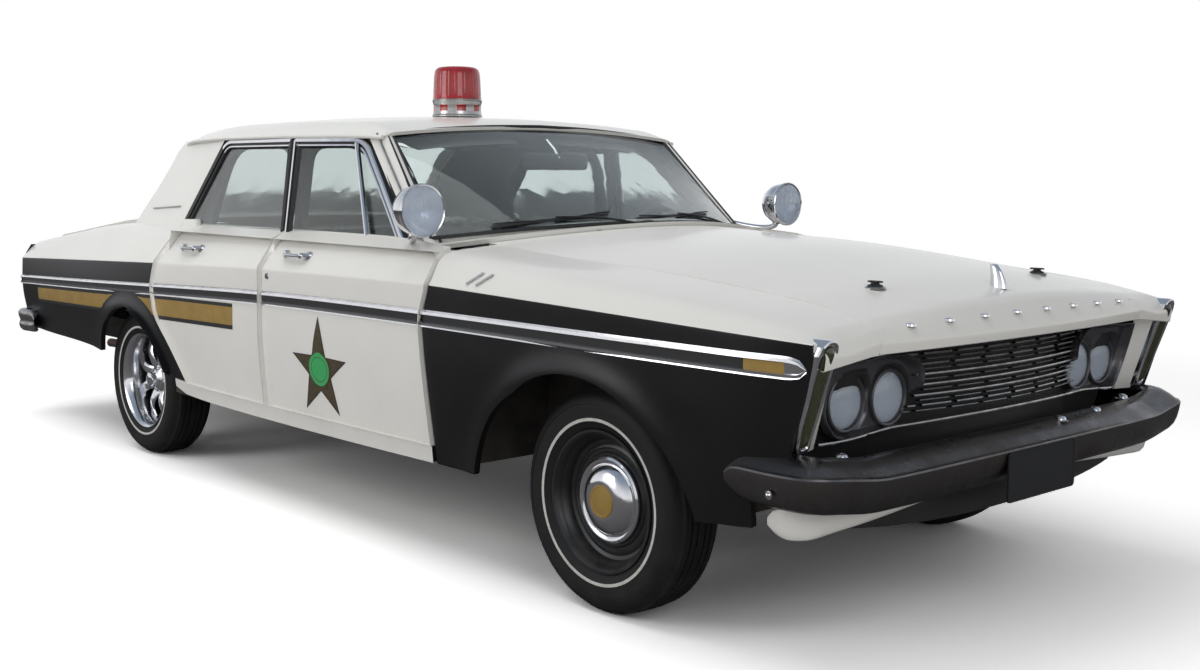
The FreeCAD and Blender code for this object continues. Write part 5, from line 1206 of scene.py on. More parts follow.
# ---------------------------------------------------------------- Front wheels
# Pressed steel wheels painted black, with a plain chromed cap that carries a gold disc.
wheel_black = finish("wheel_black", (0.013, 0.013, 0.014), 0.34, dust=(0.07, 0.062, 0.055), amount=0.6,
                     scale=16.0, rougher=0.25, fade_height=0.35, bump=0.06, bump_scale=150.0)
STEEL_WHEEL = np.array([(.190, -.075), (.196, -.070), (.178, -.060), (.172, .030), (.180, .055), (.190, .066),
                        (.197, .073), (.204, .078), (.203, .081), (.196, .081), (.190, .076), (.184, .066),
                        (.180, .052), (.178, .040), (.170, .032), (.160, .029), (.154, .034), (.148, .035),
                        (.143, .030), (.137, .030), (.131, .036), (.122, .036), (.110, .030), (.0001, .028)])
CAP = np.array([(.119, .034), (.123, .040), (.122, .046), (.116, .050), (.109, .049), (.104, .045),
                (.100, .046), (.090, .058), (.076, .066), (.060, .0715), (.050, .073), (.047, .0725)])
MEDAL = np.array([(.047, .0725), (.0455, .0755), (.042, .076), (.040, .0745), (.020, .0762), (.0001, .0768)])
for side, sign in SIDES:
    centre = wheel_centre("front", sign)
    make(f"front_wheel_{side}_rim", turned(STEEL_WHEEL * (1, sign), centre, "y", 72), "front_wheel_" + side,
         wheel_black, replaces="front_wheel_" + side, closed=ROUND, facing=(0, sign, 0), wall=.002)
    make(f"front_wheel_{side}_cap", turned(CAP * (1, sign), centre, "y", 64), "front_wheel_" + side, chrome,
         closed=ROUND, facing=(0, sign, 0), wall=.0012)
    make(f"front_wheel_{side}_medal", turned(MEDAL * (1, sign), centre, "y", 48), "front_wheel_" + side, gold,
         closed=ROUND, facing=(0, sign, 0), wall=.0012)
    valve = centre + np.array([.178, sign * .034, 0])
    make(f"front_wheel_{side}_valve", turned([(.0001, .030), (.004, .030), (.0045, 0)], valve, "y", 12)
         if sign > 0 else turned([(.0001, -.030), (.004, -.030), (.0045, 0)], valve, "y", 12),
         "front_wheel_" + side, black_trim, slot="tyre", closed=ROUND, facing=(0, sign, 0))

# ---------------------------------------------------------------- Rear wheels
# Deep chromed wheels: eight flat spokes run out from a dished centre to a wide polished lip.
DEEP_RIM = np.array([(.188, -.074), (.196, -.070), (.176, -.060), (.170, -.020), (.176, .020), (.183, .050),
                     (.190, .070), (.198, .079), (.204, .083), (.206, .080), (.203, .076)])
SPOKES = 8
spoke_u = np.linspace(0, 1, 12)
spoke_v = np.linspace(-1, 1, 9)
spoke_r = .050 + .126 * spoke_u[:, None]
spoke_half = (.020 + .010 * np.abs(2 * spoke_u - 1) ** 2)[:, None]
spoke_out = .012 + .018 * np.sin(spoke_u[:, None] * np.pi) - .006 * spoke_v[None, :] ** 4
HUB = np.array([(.058, .004), (.056, .020), (.050, .026), (.040, .030), (.034, .034), (.033, .050),
                (.030, .056), (.018, .060), (.0001, .061)])
for side, sign in SIDES:
    centre = wheel_centre("rear", sign)
    spokes = []
    for k in range(SPOKES):
        a = 2 * np.pi * (k + .5) / SPOKES
        x = spoke_r * np.cos(a) - spoke_half * spoke_v * np.sin(a)
        z = spoke_r * np.sin(a) + spoke_half * spoke_v * np.cos(a)
        spokes.append(np.stack([centre[0] + x, centre[1] + sign * (spoke_out + 0 * x), centre[2] + z], -1))
    make(f"rear_wheel_{side}_rim", turned(DEEP_RIM * (1, sign), centre, "y", 72), "rear_wheel_" + side, chrome,
         replaces="rear_wheel_" + side, closed=ROUND, facing=(0, sign, 0), wall=.002)
    make(f"rear_wheel_{side}_spokes", spokes, "rear_wheel_" + side, chrome, facing=(0, sign, 0), wall=.006)
    nuts = [turned(np.array([(.0001, .030), (.008, .029), (.009, .010)]) * (1, sign),
                   centre + np.array([.046 * np.cos(b), 0, .046 * np.sin(b)]), "y", 12)
            for b in np.arange(5) * 2 * np.pi / 5]
    make(f"rear_wheel_{side}_hub", [turned(HUB * (1, sign), centre, "y", 48)] + nuts, "rear_wheel_" + side,
         chrome, closed=ROUND, facing=(0, sign, 0))

# ---------------------------------------------------------------- Roof beacon
# A rotating beacon bolted to the roof: a ribbed red plastic dome on a bright base, with a
# row of small red marker windows round the base.
red_lens = finish("red_lens", (0.50, 0.010, 0.012), 0.14, dust=(0.22, 0.004, 0.006), amount=0.9, scale=28.0,
                  rougher=0.1, fade_height=9.0, Coat_Weight=0.5, Coat_Roughness=0.06, Transmission_Weight=0.25)
beacon_low, beacon_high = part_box("beacon")
beacon_at = ((beacon_low[0] + beacon_high[0]) / 2, 0, beacon_low[2])
BASE = np.array([(.0001, 0), (.100, 0), (.1005, .006), (.097, .010), (.0965, .018), (.0955, .022),
                 (.0955, .046), (.0965, .050), (.0975, .056), (.0995, .060), (.0995, .067), (.0965, .070)])
DOME = np.array([(.0975, .064), (.0975, .072), (.0965, .074), (.0955, .095), (.0940, .125), (.0925, .155),
                 (.0900, .176), (.0850, .188), (.0740, .1955), (.0500, .1985), (.0250, .1995), (.0001, .2000)])
windows = np.zeros((len(BASE) - 1, 48), int)
windows[5] = np.isin(np.arange(48) % 6, [1, 2, 3])
base = turned(BASE, beacon_at, "z", 48)
dome = turned(DOME, beacon_at, "z", 144)
ribbed = np.clip((DOME[:, 1] - .074) / .01, 0, 1) * np.clip((.190 - DOME[:, 1]) / .01, 0, 1)
ribs = 1 - .016 * ribbed[:, None] * (.5 + .5 * np.cos(np.linspace(0, 2 * np.pi, 144, endpoint=False)
                                                      * 36))[None, :]
dome[..., 0] = beacon_at[0] + (dome[..., 0] - beacon_at[0]) * ribs
dome[..., 1] *= ribs
make("beacon_base", base, "body", [aged_chrome, red_lens], replaces="beacon", closed=ROUND, paint=[windows])
make("beacon_dome", dome, "body", red_lens, closed=ROUND)

# ---------------------------------------------------------------- Spotlights
# A chromed spotlight on each front pillar, on a tube that passes through the pillar to a
# grip inside the cabin.
SPOT = np.array([(.0001, -.094), (.020, -.0935), (.042, -.088), (.060, -.074), (.073, -.052), (.079, -.028),
                 (.0805, -.006), (.0830, -.004), (.0845, .001), (.0840, .008), (.0810, .011), (.0775, .009)])
SPOT_LENS = np.array([(.0001, .0190), (.030, .0178), (.055, .0148), (.070, .0112), (.0780, .0080)])
SPOT_BOWL = np.array([(.077, .006), (.068, -.010), (.052, -.026), (.034, -.038), (.014, -.044), (.0001, -.045)])
spot_shells, spot_lenses, spot_bowls = [], [], []
for _, sign in SIDES:
    at = np.array([front - .790, sign * .872, 1.108])
    spot_shells.append(turned(SPOT, at, "x", 64))
    spot_lenses.append(turned(SPOT_LENS, at, "x", 64))
    spot_bowls.append(turned(SPOT_BOWL, at, "x", 64))
    bend = np.array([(front - .978, sign * .762, 1.032), (front - .945, sign * .790, 1.022),
                     (front - .900, sign * .835, 1.012), (front - .862, sign * .866, 1.014),
                     (front - .843, sign * .874, 1.026), (front - .842, sign * .873, 1.042)])
    turns = np.linspace(0, 5, 24)
    stalk = np.stack([eased(turns, np.arange(6.0), column, .9) for column in bend.T], -1)
    spot_shells += [tube(stalk, .0105, 14, up=(.3, .2, 1)),
                    tube(blend(at + (-.060, 0, -.050), at + (-.052, 0, -.082), 5), .013, 14, up=(0, 1, 0))]
    inside = blend(np.array([front - .978, sign * .762, 1.032]), np.array([front - 1.245, sign * .640, .965]),
                   12)
    spot_shells.append(tube(inside, .008, 10))
make("spotlight_shells", spot_shells, "body", chrome, replaces="spotlights", closed=ROUND)
make("spotlight_lenses", spot_lenses, "body", lamp_glass, closed=ROUND, facing=(1, 0, 0), wall=.002)
make("spotlight_bowls", spot_bowls, "body", chrome, closed=ROUND, facing=(1, 0, 0))

# ---------------------------------------------------------------- Wipers and cowl louvres
# Two black arms with rubber blades rest along the foot of the windshield, and a band of
# pressed louvres lets air in through the cowl.


def on_screen(y, up, out=.012):
    """Points over the windshield near its foot: its foot line, moved up the slope and out."""
    foot = half_screen[:len(low_line)][::-1]
    order = np.argsort(foot[:, 1])
    x = np.interp(np.abs(y), foot[order, 1], foot[order, 0])
    z = np.interp(np.abs(y), foot[order, 1], foot[order, 2])
    return np.stack([x - .852 * up + .523 * out, y, z + .523 * up + .852 * out], -1)


wipers, blades = [], []
for y0, y1, root in ((-.560, -.130, -.300), (-.020, .430, .280)):
    y = np.linspace(y0, y1, 24)
    rise = .018 + .030 * (y - y0) / (y1 - y0)
    blades.append(tube(on_screen(y, rise, .008), .0045, 8, 1.6))
    wipers.append(tube(on_screen(y, rise, .016 + .006 * np.cos((y - y0) / (y1 - y0) * 2 * np.pi)), .0035, 8,
                       .8))
    middle = on_screen(np.array([(y0 + y1) / 2]), .034, .020)[0]
    pivot = on_screen(np.array([root + .30]), -.030, .010)[0]
    arm = blend(pivot, middle, 12) + np.array([0, 0, .012]) * np.sin(np.linspace(0, np.pi, 12))[:, None]
    wipers.append(tube(arm, np.linspace(.007, .004, 12), 8, .7))
    wipers.append(turned([(.0001, .022), (.010, .020), (.013, .012), (.014, -.012)], pivot, "z", 20))
make("wiper_arms", wipers, "body", black_trim, slot="chrome", closed=ROUND)
make("wiper_blades", blades, "body", black_trim, closed=ROUND)
louvres = []
for k, y in enumerate(np.linspace(-.300, -.060, 30)):
    spot = top_point(np.array([front - .630, front - .600]), np.array([y, y]))
    louvres.append(tube(blend(spot[0] + (0, 0, .0012), spot[1] + (0, 0, .0012), 4), .0024, 6, .5))
make("cowl_louvres", louvres, "body", black_trim, closed=ROUND)

# ---------------------------------------------------------------- Hood fittings
# Two black hood pins with chromed plates, a small chromed fin in the middle,
# and eight plain studs along the lip.
pins, plates = [], []
for _, sign in SIDES:
    at = top_point(np.array([front + .592]), np.array([sign * .400]))[0]
    plates.append(turned([(.0001, .0035), (.026, .003), (.029, 0), (.029, -.003)], at, "z", 32))
    pins.append(turned([(.0001, .018), (.007, .018), (.010, .015), (.012, .010), (.020, .007), (.022, .003)],
                       at, "z", 24))
    wire = np.linspace(0, 2 * np.pi, 20)
    pins.append(tube(at + np.stack([.022 * np.cos(wire), .010 * np.sin(wire), .016 + 0 * wire], -1), .0022, 8))
make("hood_pin_plates", plates, "hood", aged_chrome, closed=ROUND)
make("hood_pins", pins, "hood", black_trim, closed=ROUND)
fin_u = np.linspace(0, 1, 14)[:, None]
fin_a = np.linspace(0, 2 * np.pi, 16, endpoint=False)[None, :]
fin_at = top_point(np.array([front + .711]), np.array([0.0]))[0]
fin_wide = .012 * (1 - fin_u) ** .6 + .003
fin_long = .026 * (1 - .45 * fin_u) * np.sqrt(np.clip(1 - (fin_u - .12) ** 6, 0, 1))
fin = np.stack([fin_at[0] + fin_long * np.cos(fin_a) - .018 * fin_u**2, fin_at[1] + fin_wide * np.sin(fin_a),
                fin_at[2] - .003 + .066 * fin_u + 0 * fin_a], -1)
make("hood_fin", np.concatenate([fin, fin[-1:].mean(1, keepdims=True) + 0 * fin[-1:]]), "hood", chrome,
     closed=ROUND)
studs = [turned([(.0001, .0055), (.010, .005), (.014, .003), (.015, -.002)],
                nosed(top_point(np.array([front + .814 - .083 * y * y]), np.array([y])))[0], "z", 16)
         for y in np.linspace(-.520, .520, 8)]
make("hood_studs", studs, "hood", chrome, closed=ROUND)

# ---------------------------------------------------------------- Tail
# The body ends in a painted panel between the quarters, with one round red lamp a side in
# a chromed ring and a chromed bumper below; there is no number plate.
tail_u = np.linspace(-1, 1, 40)[None, :]
tail_v = np.linspace(0, 1, 12)[:, None]
tail_z = .448 + (.852 - .448) * tail_v
tail_side = np.interp(tail_z, [.445, .600, .682, .790, .850], [.816, .848, .852, .846, .806])
tail_skin = np.stack([TAIL + .004 - .010 * np.sin(np.pi * tail_v) + 0 * tail_u, tail_side * tail_u,
                      tail_z + 0 * tail_u], -1)
make("tail_panel_skin", tail_skin, "body", black_paint, replaces="tail_panel", facing=(-1, 0, 0), wall=-.0015)
lamp_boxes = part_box("tail_lamps")
TAIL_RING = np.array([(.0440, .000), (.0440, .010), (.0470, .013), (.0520, .013), (.0560, .009), (.0570, 0)])
TAIL_LENS = np.array([(.0001, .0185), (.014, .0182), (.020, .0165), (.022, .0172), (.034, .0155),
                      (.0445, .0090), (.0445, .0020)])
tail_rings, tail_lenses = [], []
for _, sign in SIDES:
    at = np.array([lamp_boxes[1][0], sign * .710, .700])
    tail_rings.append(turned(TAIL_RING * (1, -1), at, "x", 48))
    tail_lenses.append(turned(TAIL_LENS * (1, -1), at, "x", 48))
make("tail_lamp_rings", tail_rings, "body", chrome, closed=ROUND, facing=(-1, 0, 0), wall=.0012)
make("tail_lamp_lenses", tail_lenses, "body", red_lens, replaces="tail_lamps", closed=ROUND, facing=(-1, 0, 0),
     wall=.002)
tail_bar = tube(np.stack([TAIL - .006 + 0 * tail_u[0], .600 * tail_u[0], .742 + 0 * tail_u[0]], -1), .006, 8)
make("tail_moulding", tail_bar, "body", chrome, closed=ROUND)
rear_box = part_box("rear_bumper")
REAR_BLADE = np.array([(-.040, .531), (-.030, .535), (-.014, .5345), (-.004, .528), (0, .518), (-.001, .500),
                       (-.006, .487), (-.008, .478), (-.004, .468), (-.002, .455), (-.006, .440), (-.016, .429),
                       (-.030, .426), (-.038, .430), (-.026, .440), (-.018, .460), (-.020, .480), (-.018, .505),
                       (-.026, .524)])
rear_blade = blade([(-rear_box[0][0] - .258, .880), (-rear_box[0][0] - .120, .898),
                    (-rear_box[0][0] - .045, .880), (-rear_box[0][0] - .014, .780),
                    (-rear_box[0][0] - .002, .400), (-rear_box[0][0] - .001, 0)], REAR_BLADE) * (-1, 1, 1)
make("rear_bumper_blade", rear_blade, "body", aged_chrome, replaces="rear_bumper", slot="worn_chrome",
     closed=ROUND)
brackets = [np.array([[(x, y0, .452), (x, y1, .452), (x, y1, .508), (x, y0, .508)]
                      for x in (TAIL + .02, rear_box[0][0] + .03)]) for y0, y1 in ((-.36, -.30), (.30, .36))]
make("rear_bumper_brackets", brackets, "body", black_trim, slot="black_steel", closed=ROUND)

# ---------------------------------------------------------------- Seats
# Two benches in dark vinyl over springs and foam: a crowned cushion and a leaning back
# each, with sewn channels that run fore and aft.
seat_vinyl = finish("seat_vinyl", (0.020, 0.024, 0.034), 0.42, dust=(0.06, 0.06, 0.07), amount=0.5, scale=10.0,
                    rougher=0.2, fade_height=2.0, bump=0.25, bump_scale=420.0, Specular_IOR_Level=0.4)


def pad_form(path, half, thick, rise):
    """A cushion's first form: an oval section of given thickness carried along a side path of
    (x, z); its ends pull in as a fourth power and its faces crown by rise across the car."""
    path = np.array(path, float)
    ahead = np.gradient(path, axis=0)
    ahead /= np.linalg.norm(ahead, axis=1, keepdims=True)
    across = np.stack([-ahead[:, 1], ahead[:, 0]], -1)
    v = np.linspace(-1, 1, 61)
    fall = (1 - np.abs(v) ** 10) ** .35
    share = np.linspace(0, 1, len(path))
    ends = (1 - np.abs(2 * share - 1) ** 8) ** .4
    face = []
    for side in (1, -1):
        depth = side * thick / 2 * ends[:, None] * fall[None,
                                                        :] + rise * side * (1 - v[None, :] ** 2) * ends[:, None]
        xz = path[:, None, :] + across[:, None, :] * depth[..., None]
        face.append(np.stack([xz[..., 0], half * v[None, :] * (1 - .006 * (1 - ends[:, None])) + 0 * depth,
                              xz[..., 1]], -1))
    return np.concatenate([face[0], face[1][::-1]])


def filled_pad(name, form, swell_limit, pressure=4.0):
    """The form as one closed skin, blown up as cloth for 20 frames and held within a limit."""
    pad = make(name, form, "body", seat_vinyl, closed=(True, False))
    scene = bpy.context.scene
    remesh = pad.modifiers.new("skin", "REMESH")
    remesh.mode, remesh.voxel_size = "VOXEL", .008
    depsgraph = bpy.context.evaluated_depsgraph_get()
    pad.data = bpy.data.meshes.new_from_object(pad.evaluated_get(depsgraph))
    pad.modifiers.clear()
    rest = np.empty(len(pad.data.vertices) * 3)
    pad.data.vertices.foreach_get("co", rest)
    cloth = pad.modifiers.new("cloth", "CLOTH")
    cloth.settings.use_pressure, cloth.settings.uniform_pressure_force = True, pressure
    cloth.settings.effector_weights.gravity = 0
    cloth.settings.quality, cloth.settings.mass = 5, .4
    cloth.point_cache.frame_end = 20
    for number in range(1, 21):
        scene.frame_set(number)
    blown = bpy.data.meshes.new_from_object(pad.evaluated_get(bpy.context.evaluated_depsgraph_get()))
    pad.modifiers.clear()
    scene.frame_set(1)
    swollen = np.empty(len(blown.vertices) * 3)
    blown.vertices.foreach_get("co", swollen)
    move = (swollen - rest).reshape(-1, 3)
    length = np.linalg.norm(move, axis=1, keepdims=True) + 1e-12
    held = rest.reshape(-1, 3) + move * np.minimum(1, swell_limit / length)
    blown.vertices.foreach_set("co", held.ravel())
    blown.polygons.foreach_set("use_smooth", np.ones(len(blown.polygons), bool))
    pad.data = blown
    blown.name = name
    return pad


def sewn(pad, pitch, deep, along_seam):
    """Sewn channels: points sink by a bell of their distance from the nearest seam, which
    lie a pitch apart across the car, towards the pad's middle surface."""
    points = np.empty(len(pad.data.vertices) * 3)
    pad.data.vertices.foreach_get("co", points)
    points = points.reshape(-1, 3)
    normals = np.empty(len(pad.data.vertices) * 3)
    pad.data.vertices.foreach_get("normal", normals)
    away = np.abs((points[:, 1] / pitch + .5) % 1 - .5) * pitch
    inside = np.clip((along_seam - np.abs(points[:, 1])) / .02, 0, 1)
    sink = deep * np.exp(-(away / .009) ** 2) * inside
    points -= normals.reshape(-1, 3) * sink[:, None]
    pad.data.vertices.foreach_set("co", points.ravel())
    pad.data.update()


SEAT_TABLE = {  # x of the front edge, half width, cushion depth, back's foot x and top x, top z
    "front": (front - 1.250, .612, .440, -.452, -.555, .925),
    "rear": (rear + .700, .551, .430, -.452, -.528, .925)}
for end, (x0, half, long, foot, top, top_z) in SEAT_TABLE.items():
    cushion_path = np.stack([x0 - .018 - (long - .02) * np.linspace(0, 1, 24),
                             .548 - .010 * np.linspace(0, 1, 24) + .012 * np.sin(np.linspace(0, np.pi, 24))],
                            -1)
    back_t = np.linspace(0, 1, 24)
    back_path = np.stack([x0 + foot + (top - foot) * back_t - .012 * np.sin(np.pi * back_t),
                          .560 + (top_z - .560) * back_t], -1)
    cushion = filled_pad(f"{end}_seat_cushion", pad_form(cushion_path, half, .120, .006), .012)
    back = filled_pad(f"{end}_seat_back", pad_form(back_path, half - .006, .085, .003), .008)
    for piece in (cushion, back):
        sewn(piece, .088, .007, half - .10)
        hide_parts(f"{end}_seat")
seat_plinths = []
for x0, half, long, *_ in SEAT_TABLE.values():
    for sign in (-1, 1):
        y0, y1 = sorted((sign * .165, sign * (half - .03)))
        back_x = x0 - (.40 if half > .6 else .20)
        seat_plinths.append(np.array([[(x, y0, z0), (x, y1, z0), (x, y1, z1), (x, y0, z1)]
                                      for x, z0, z1 in ((back_x, .3445, .482), (x0 - .03, .3405, .482))]))
make("seat_plinths", seat_plinths, "body", black_trim, closed=ROUND)

# ---------------------------------------------------------------- Dashboard and steering wheel
# A painted steel dashboard with a padded brow, a row of round instruments before the
# driver and a glove-box lid; the steering wheel has a bright horn ring.
dash_paint = finish("dash_paint", (0.030, 0.034, 0.042), 0.35, dust=(0.08, 0.08, 0.085), amount=0.4, scale=8.0,
                    fade_height=2.0, bump=0.15, bump_scale=350.0)
dash_low, dash_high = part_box("dashboard")
DASH = np.array([(.000, .004), (.012, .026), (.004, .070), (-.004, .110), (-.012, .138), (-.020, .150),
                 (-.012, .163), (.010, .1695), (.060, .1705), (.120, .1695), (.179, .1685)])
dash_y = np.linspace(-1, 1, 50)[:, None]
bowed = .020 * dash_y**2
dash = np.stack([dash_low[0] + .022 + DASH[None, :, 0] + bowed * (DASH[None, :, 0] < .1),
                 (dash_high[1] - .002) * dash_y + 0 * DASH[None, :, 0], dash_low[2] + DASH[None, :, 1] + 0
                 * dash_y], -1)
make("dashboard_skin", dash, "body", dash_paint, replaces="dashboard", facing=(-1, 0, 0), wall=-.002)
gauges, dials = [], []
for y, r in ((.540, .038), (.455, .052), (.335, .052), (.245, .038)):
    at = (dash_low[0] + .028, y, dash_low[2] + .078)
    gauges.append(turned(np.array([(r, .012), (r, -.006), (r + .003, -.010), (r + .006, -.006),
                                   (r + .006, .012)]), at, "x", 40))
    dials.append(turned(np.array([(.0001, -.004), (r * .3, -.0036), (r, -.002)]), at, "x", 40))
make("gauge_rings", gauges, "body", chrome, closed=ROUND)
make("gauge_dials", dials, "body", black_trim, closed=ROUND, facing=(-1, 0, 0))
knobs = [turned(np.array([(.0001, -.024), (.009, -.022), (.010, -.014), (.005, -.010), (.005, .010)]),
                (dash_low[0] + .022, y, dash_low[2] + .030), "x", 16) for y in (.150, .080, .010, -.060, -.560)]
make("dash_knobs", knobs, "body", chrome, closed=ROUND)
lid_edge = rounded([(-.620, .790), (-.180, .790), (-.180, .880), (-.620, .880)], .012)
lid_trim = np.stack([0 * lid_edge[:, 0] + dash_low[0] + .014 + .020 * (lid_edge[:, 0] / .763) ** 2,
                     lid_edge[:, 0], lid_edge[:, 1]], -1)
lid_grid = np.stack([lid_trim + (0, dy * .003, dz * .003) + (dx, 0, 0) for dx, dy, dz in
                     ((0, 0, 0), (-.004, 0, 0), (-.004, 1, 1), (0, 1, 1))])
make("glove_lid_trim", lid_grid, "body", chrome, closed=(True, True))
WHEEL_AXIS = np.array([-.270, 0, .105]) / np.hypot(.270, .105)
WHEEL_AT = np.array([front - 1.060, .370, .905])


def hoop(centre, radius, thick, spans=72, arc=2 * np.pi, start=0.0):
    """A ring square to the steering column: a circle of thick carried round radius."""
    side = np.array([0, 1.0, 0])
    over = np.cross(WHEEL_AXIS, side)
    theta = start + np.linspace(0, arc, spans, endpoint=arc < 6.28)[:, None, None]
    phi = np.linspace(0, 2 * np.pi, 12, endpoint=False)[None, :, None]
    reach = radius + thick * np.cos(phi)
    return centre + reach * (np.cos(theta) * side + np.sin(theta) * over) + thick * np.sin(phi) * WHEEL_AXIS


make("steering_rim", hoop(WHEEL_AT, .200, .0125), "body", black_trim, replaces="steering_wheel",
     closed=(True, True))
make("horn_ring", hoop(WHEEL_AT + WHEEL_AXIS * .004, .115, .005, 40, np.pi * 1.1, -.05 * np.pi), "body", chrome,
     closed=ROUND)
spokes = []
side, over = np.array([0, 1.0, 0]), np.cross(WHEEL_AXIS, np.array([0, 1.0, 0]))
for angle in (0, np.pi, 1.5 * np.pi):
    out = np.cos(angle) * side + np.sin(angle) * over
    spokes.append(tube(blend(WHEEL_AT - WHEEL_AXIS * .02, WHEEL_AT + out * .190, 14), .011, 10, .6,
                       up=WHEEL_AXIS))
column_end = WHEEL_AT - WHEEL_AXIS * .225
spokes.append(tube(blend(WHEEL_AT - WHEEL_AXIS * .03, column_end, 8), .018, 16, up=(0, 1, 0)))
boss = tube(blend(WHEEL_AT - WHEEL_AXIS * .035, WHEEL_AT + WHEEL_AXIS * .006, 8),
            np.array([.030, .033, .036, .038, .038, .036, .030, .016]), 24, up=(0, 1, 0))
make("steering_spokes", spokes, "body", black_trim, closed=ROUND)
make("steering_boss", boss, "body", chrome, closed=ROUND)

# ---------------------------------------------------------------- Headliner, mirror and cabin trim
# A pale cloth headliner under the roof, two sun visors, the inside mirror on its stalk, and
# dark carpet with a tunnel down the middle.
liner = finish("headliner", (0.30, 0.31, 0.32), 0.8, dust=(0.22, 0.22, 0.22), amount=0.5, scale=5.0, bump=0.3,
               bump_scale=700.0, fade_height=9.0)
liner_x = np.linspace(rear + .300, front - 1.320, 50)[:, None]
liner_t = np.linspace(.25, 2, 30)[None, :]
under = roof_point(liner_x + 0 * liner_t, liner_t + 0 * liner_x) - (0, 0, .034)
under[..., 2] -= .010 * (1 - np.clip(liner_t - 1, 0, 1)) ** 2
make("headliner", np.concatenate([under * (1, -1, 1), under[:, -2::-1]], 1), "body", liner, facing=(0, 0, -1),
     wall=-.003)
mirror_loop = rounded([(-.160, -.034), (.160, -.034), (.160, .030), (-.160, .030)], .020, 6)
mirror_rings = []
for back, share in ((-.0060, .0), (-.0060, .94), (-.0045, .97), (0, 1), (.012, .99), (.026, .80), (.032, .40),
                    (.033, 0)):
    ring = mirror_loop * np.maximum(share, 1e-3)
    mirror_rings.append(np.stack([0 * ring[:, 0] + front - 1.195 + back, ring[:, 0] + .010, ring[:, 1] + 1.268],
                                 -1))
make("inside_mirror", np.stack(mirror_rings), "body", black_trim, closed=ROUND)
stalk = np.array([(front - 1.165, .010, 1.275), (front - 1.190, .010, 1.310), (front - 1.235, .010, 1.345)])
make("mirror_stalk", tube(stalk, .006, 10, up=(0, 1, 0)), "body", chrome, closed=ROUND)
visors = []
for _, sign in SIDES:
    v_y = np.linspace(.09, .54, 12)[:, None]
    a = np.linspace(0, 2 * np.pi, 16, endpoint=False)[None, :]
    visors.append(np.stack([front - 1.345 + .070 * np.cos(a) + 0 * v_y, sign * v_y + 0 * a,
                            1.352 - .030 * (v_y / .54) ** 2 + .006 * np.sin(a) - .020 * np.cos(a)], -1))
make("sun_visors", visors, "body", liner, closed=ROUND)
carpet = finish("carpet", (0.020, 0.021, 0.024), 0.9, dust=(0.08, 0.075, 0.07), amount=0.7, scale=12.0,
                bump=0.5, bump_scale=600.0, fade_height=2.0)
mat_y = np.linspace(-.78, .78, 40)[None, :]
mat_x = np.linspace(rear + .445, front - .680, 30)[:, None]
hump = .132 * np.clip((.156 - np.abs(mat_y)) / .045, 0, 1) ** .8
make("carpet", np.stack([mat_x + 0 * mat_y, mat_y + 0 * mat_x, .3425 + hump + 0 * mat_x], -1), "body", carpet,
     facing=(0, 0, 1), wall=-.001)

# ---------------------------------------------------------------- Chassis and running gear
# Pressed floor and rails under black sealer, a cast-iron engine, steel axle and springs,
# painted tank, and a rusty exhaust.
sealer = finish("underseal", (0.020, 0.019, 0.018), 0.75, dust=(0.10, 0.085, 0.07), amount=0.8, scale=7.0,
                bump=0.35, bump_scale=120.0, fade_height=1.2)
iron = finish("cast_iron", (0.060, 0.052, 0.046), 0.55, dust=(0.11, 0.07, 0.045), amount=0.8, scale=10.0,
              bump=0.3, bump_scale=160.0, fade_height=1.0, Metallic=0.5)
exhaust_steel = finish("exhaust_steel", (0.15, 0.11, 0.085), 0.55, dust=(0.17, 0.075, 0.035), amount=0.9,
                       scale=16.0, rougher=0.2, fade_height=2.0, bump=0.2, bump_scale=150.0, Metallic=0.7)
coat_node(sealer, "underbody", "fuel_tank")
coat_node(iron, "engine", "rear_axle", "front_suspension", "knuckle_right", "knuckle_left")
coat_node(exhaust_steel, "exhaust")

# ---------------------------------------------------------------- Floor, light and camera
# A plain pale studio: soft lamps overhead and beside the car, and a camera at the right
# front corner, at shoulder height.
floor = bpy.data.objects.new("floor", bpy.data.meshes.new("floor"))
floor.data.from_pydata([(-60, -60, 0), (60, -60, 0), (60, 60, 0), (-60, 60, 0)], [], [(0, 1, 2, 3)])
bpy.context.collection.objects.link(floor)
floor_paint = bpy.data.materials.new("floor_paint")
floor_tree, floor_shader = nodes_of(floor_paint)
floor_shader.inputs["Roughness"].default_value = 0.9
floor_shader.inputs["Specular IOR Level"].default_value = 0.0
floor_rays = add(floor_tree, "LightPath")
mirrored = add(floor_tree, "Mix", data_type="RGBA")
mirrored.inputs[6].default_value, mirrored.inputs[7].default_value = (0.80, 0.80, 0.80,
                                                                      1), (0.16, 0.16, 0.165, 1)
seen = add(floor_tree, "Mix", data_type="RGBA")
seen.inputs[7].default_value = (1.75, 1.75, 1.75, 1)
floor_place = add(floor_tree, "TexCoord")
away = add(floor_tree, "VectorMath", operation="LENGTH")
far = add(floor_tree, "MapRange", interpolation_type="SMOOTHSTEP", in_From_Min=3.2, in_From_Max=6.5)
far_seen = add(floor_tree, "Math", operation="MULTIPLY")
backdrop_white = add(floor_tree, "Emission")
floor_mix = add(floor_tree, "MixShader")
join(floor_tree, (floor_rays, "Is Glossy Ray", mirrored, "Factor"), (mirrored, 2, seen, 6),
     (floor_rays, "Is Camera Ray", seen, "Factor"), (seen, 2, floor_shader, "Base Color"),
     (floor_place, "Object", away, 0), (away, "Value", far, "Value"), (far, "Result", far_seen, 0),
     (floor_rays, "Is Camera Ray", far_seen, 1), (far_seen, "Value", floor_mix, "Fac"),
     (floor_shader, "BSDF", floor_mix, 1), (backdrop_white, "Emission", floor_mix, 2),
     (floor_mix, "Shader", floor_tree.nodes["Material Output"], "Surface"))
floor.data.materials.append(floor_paint)

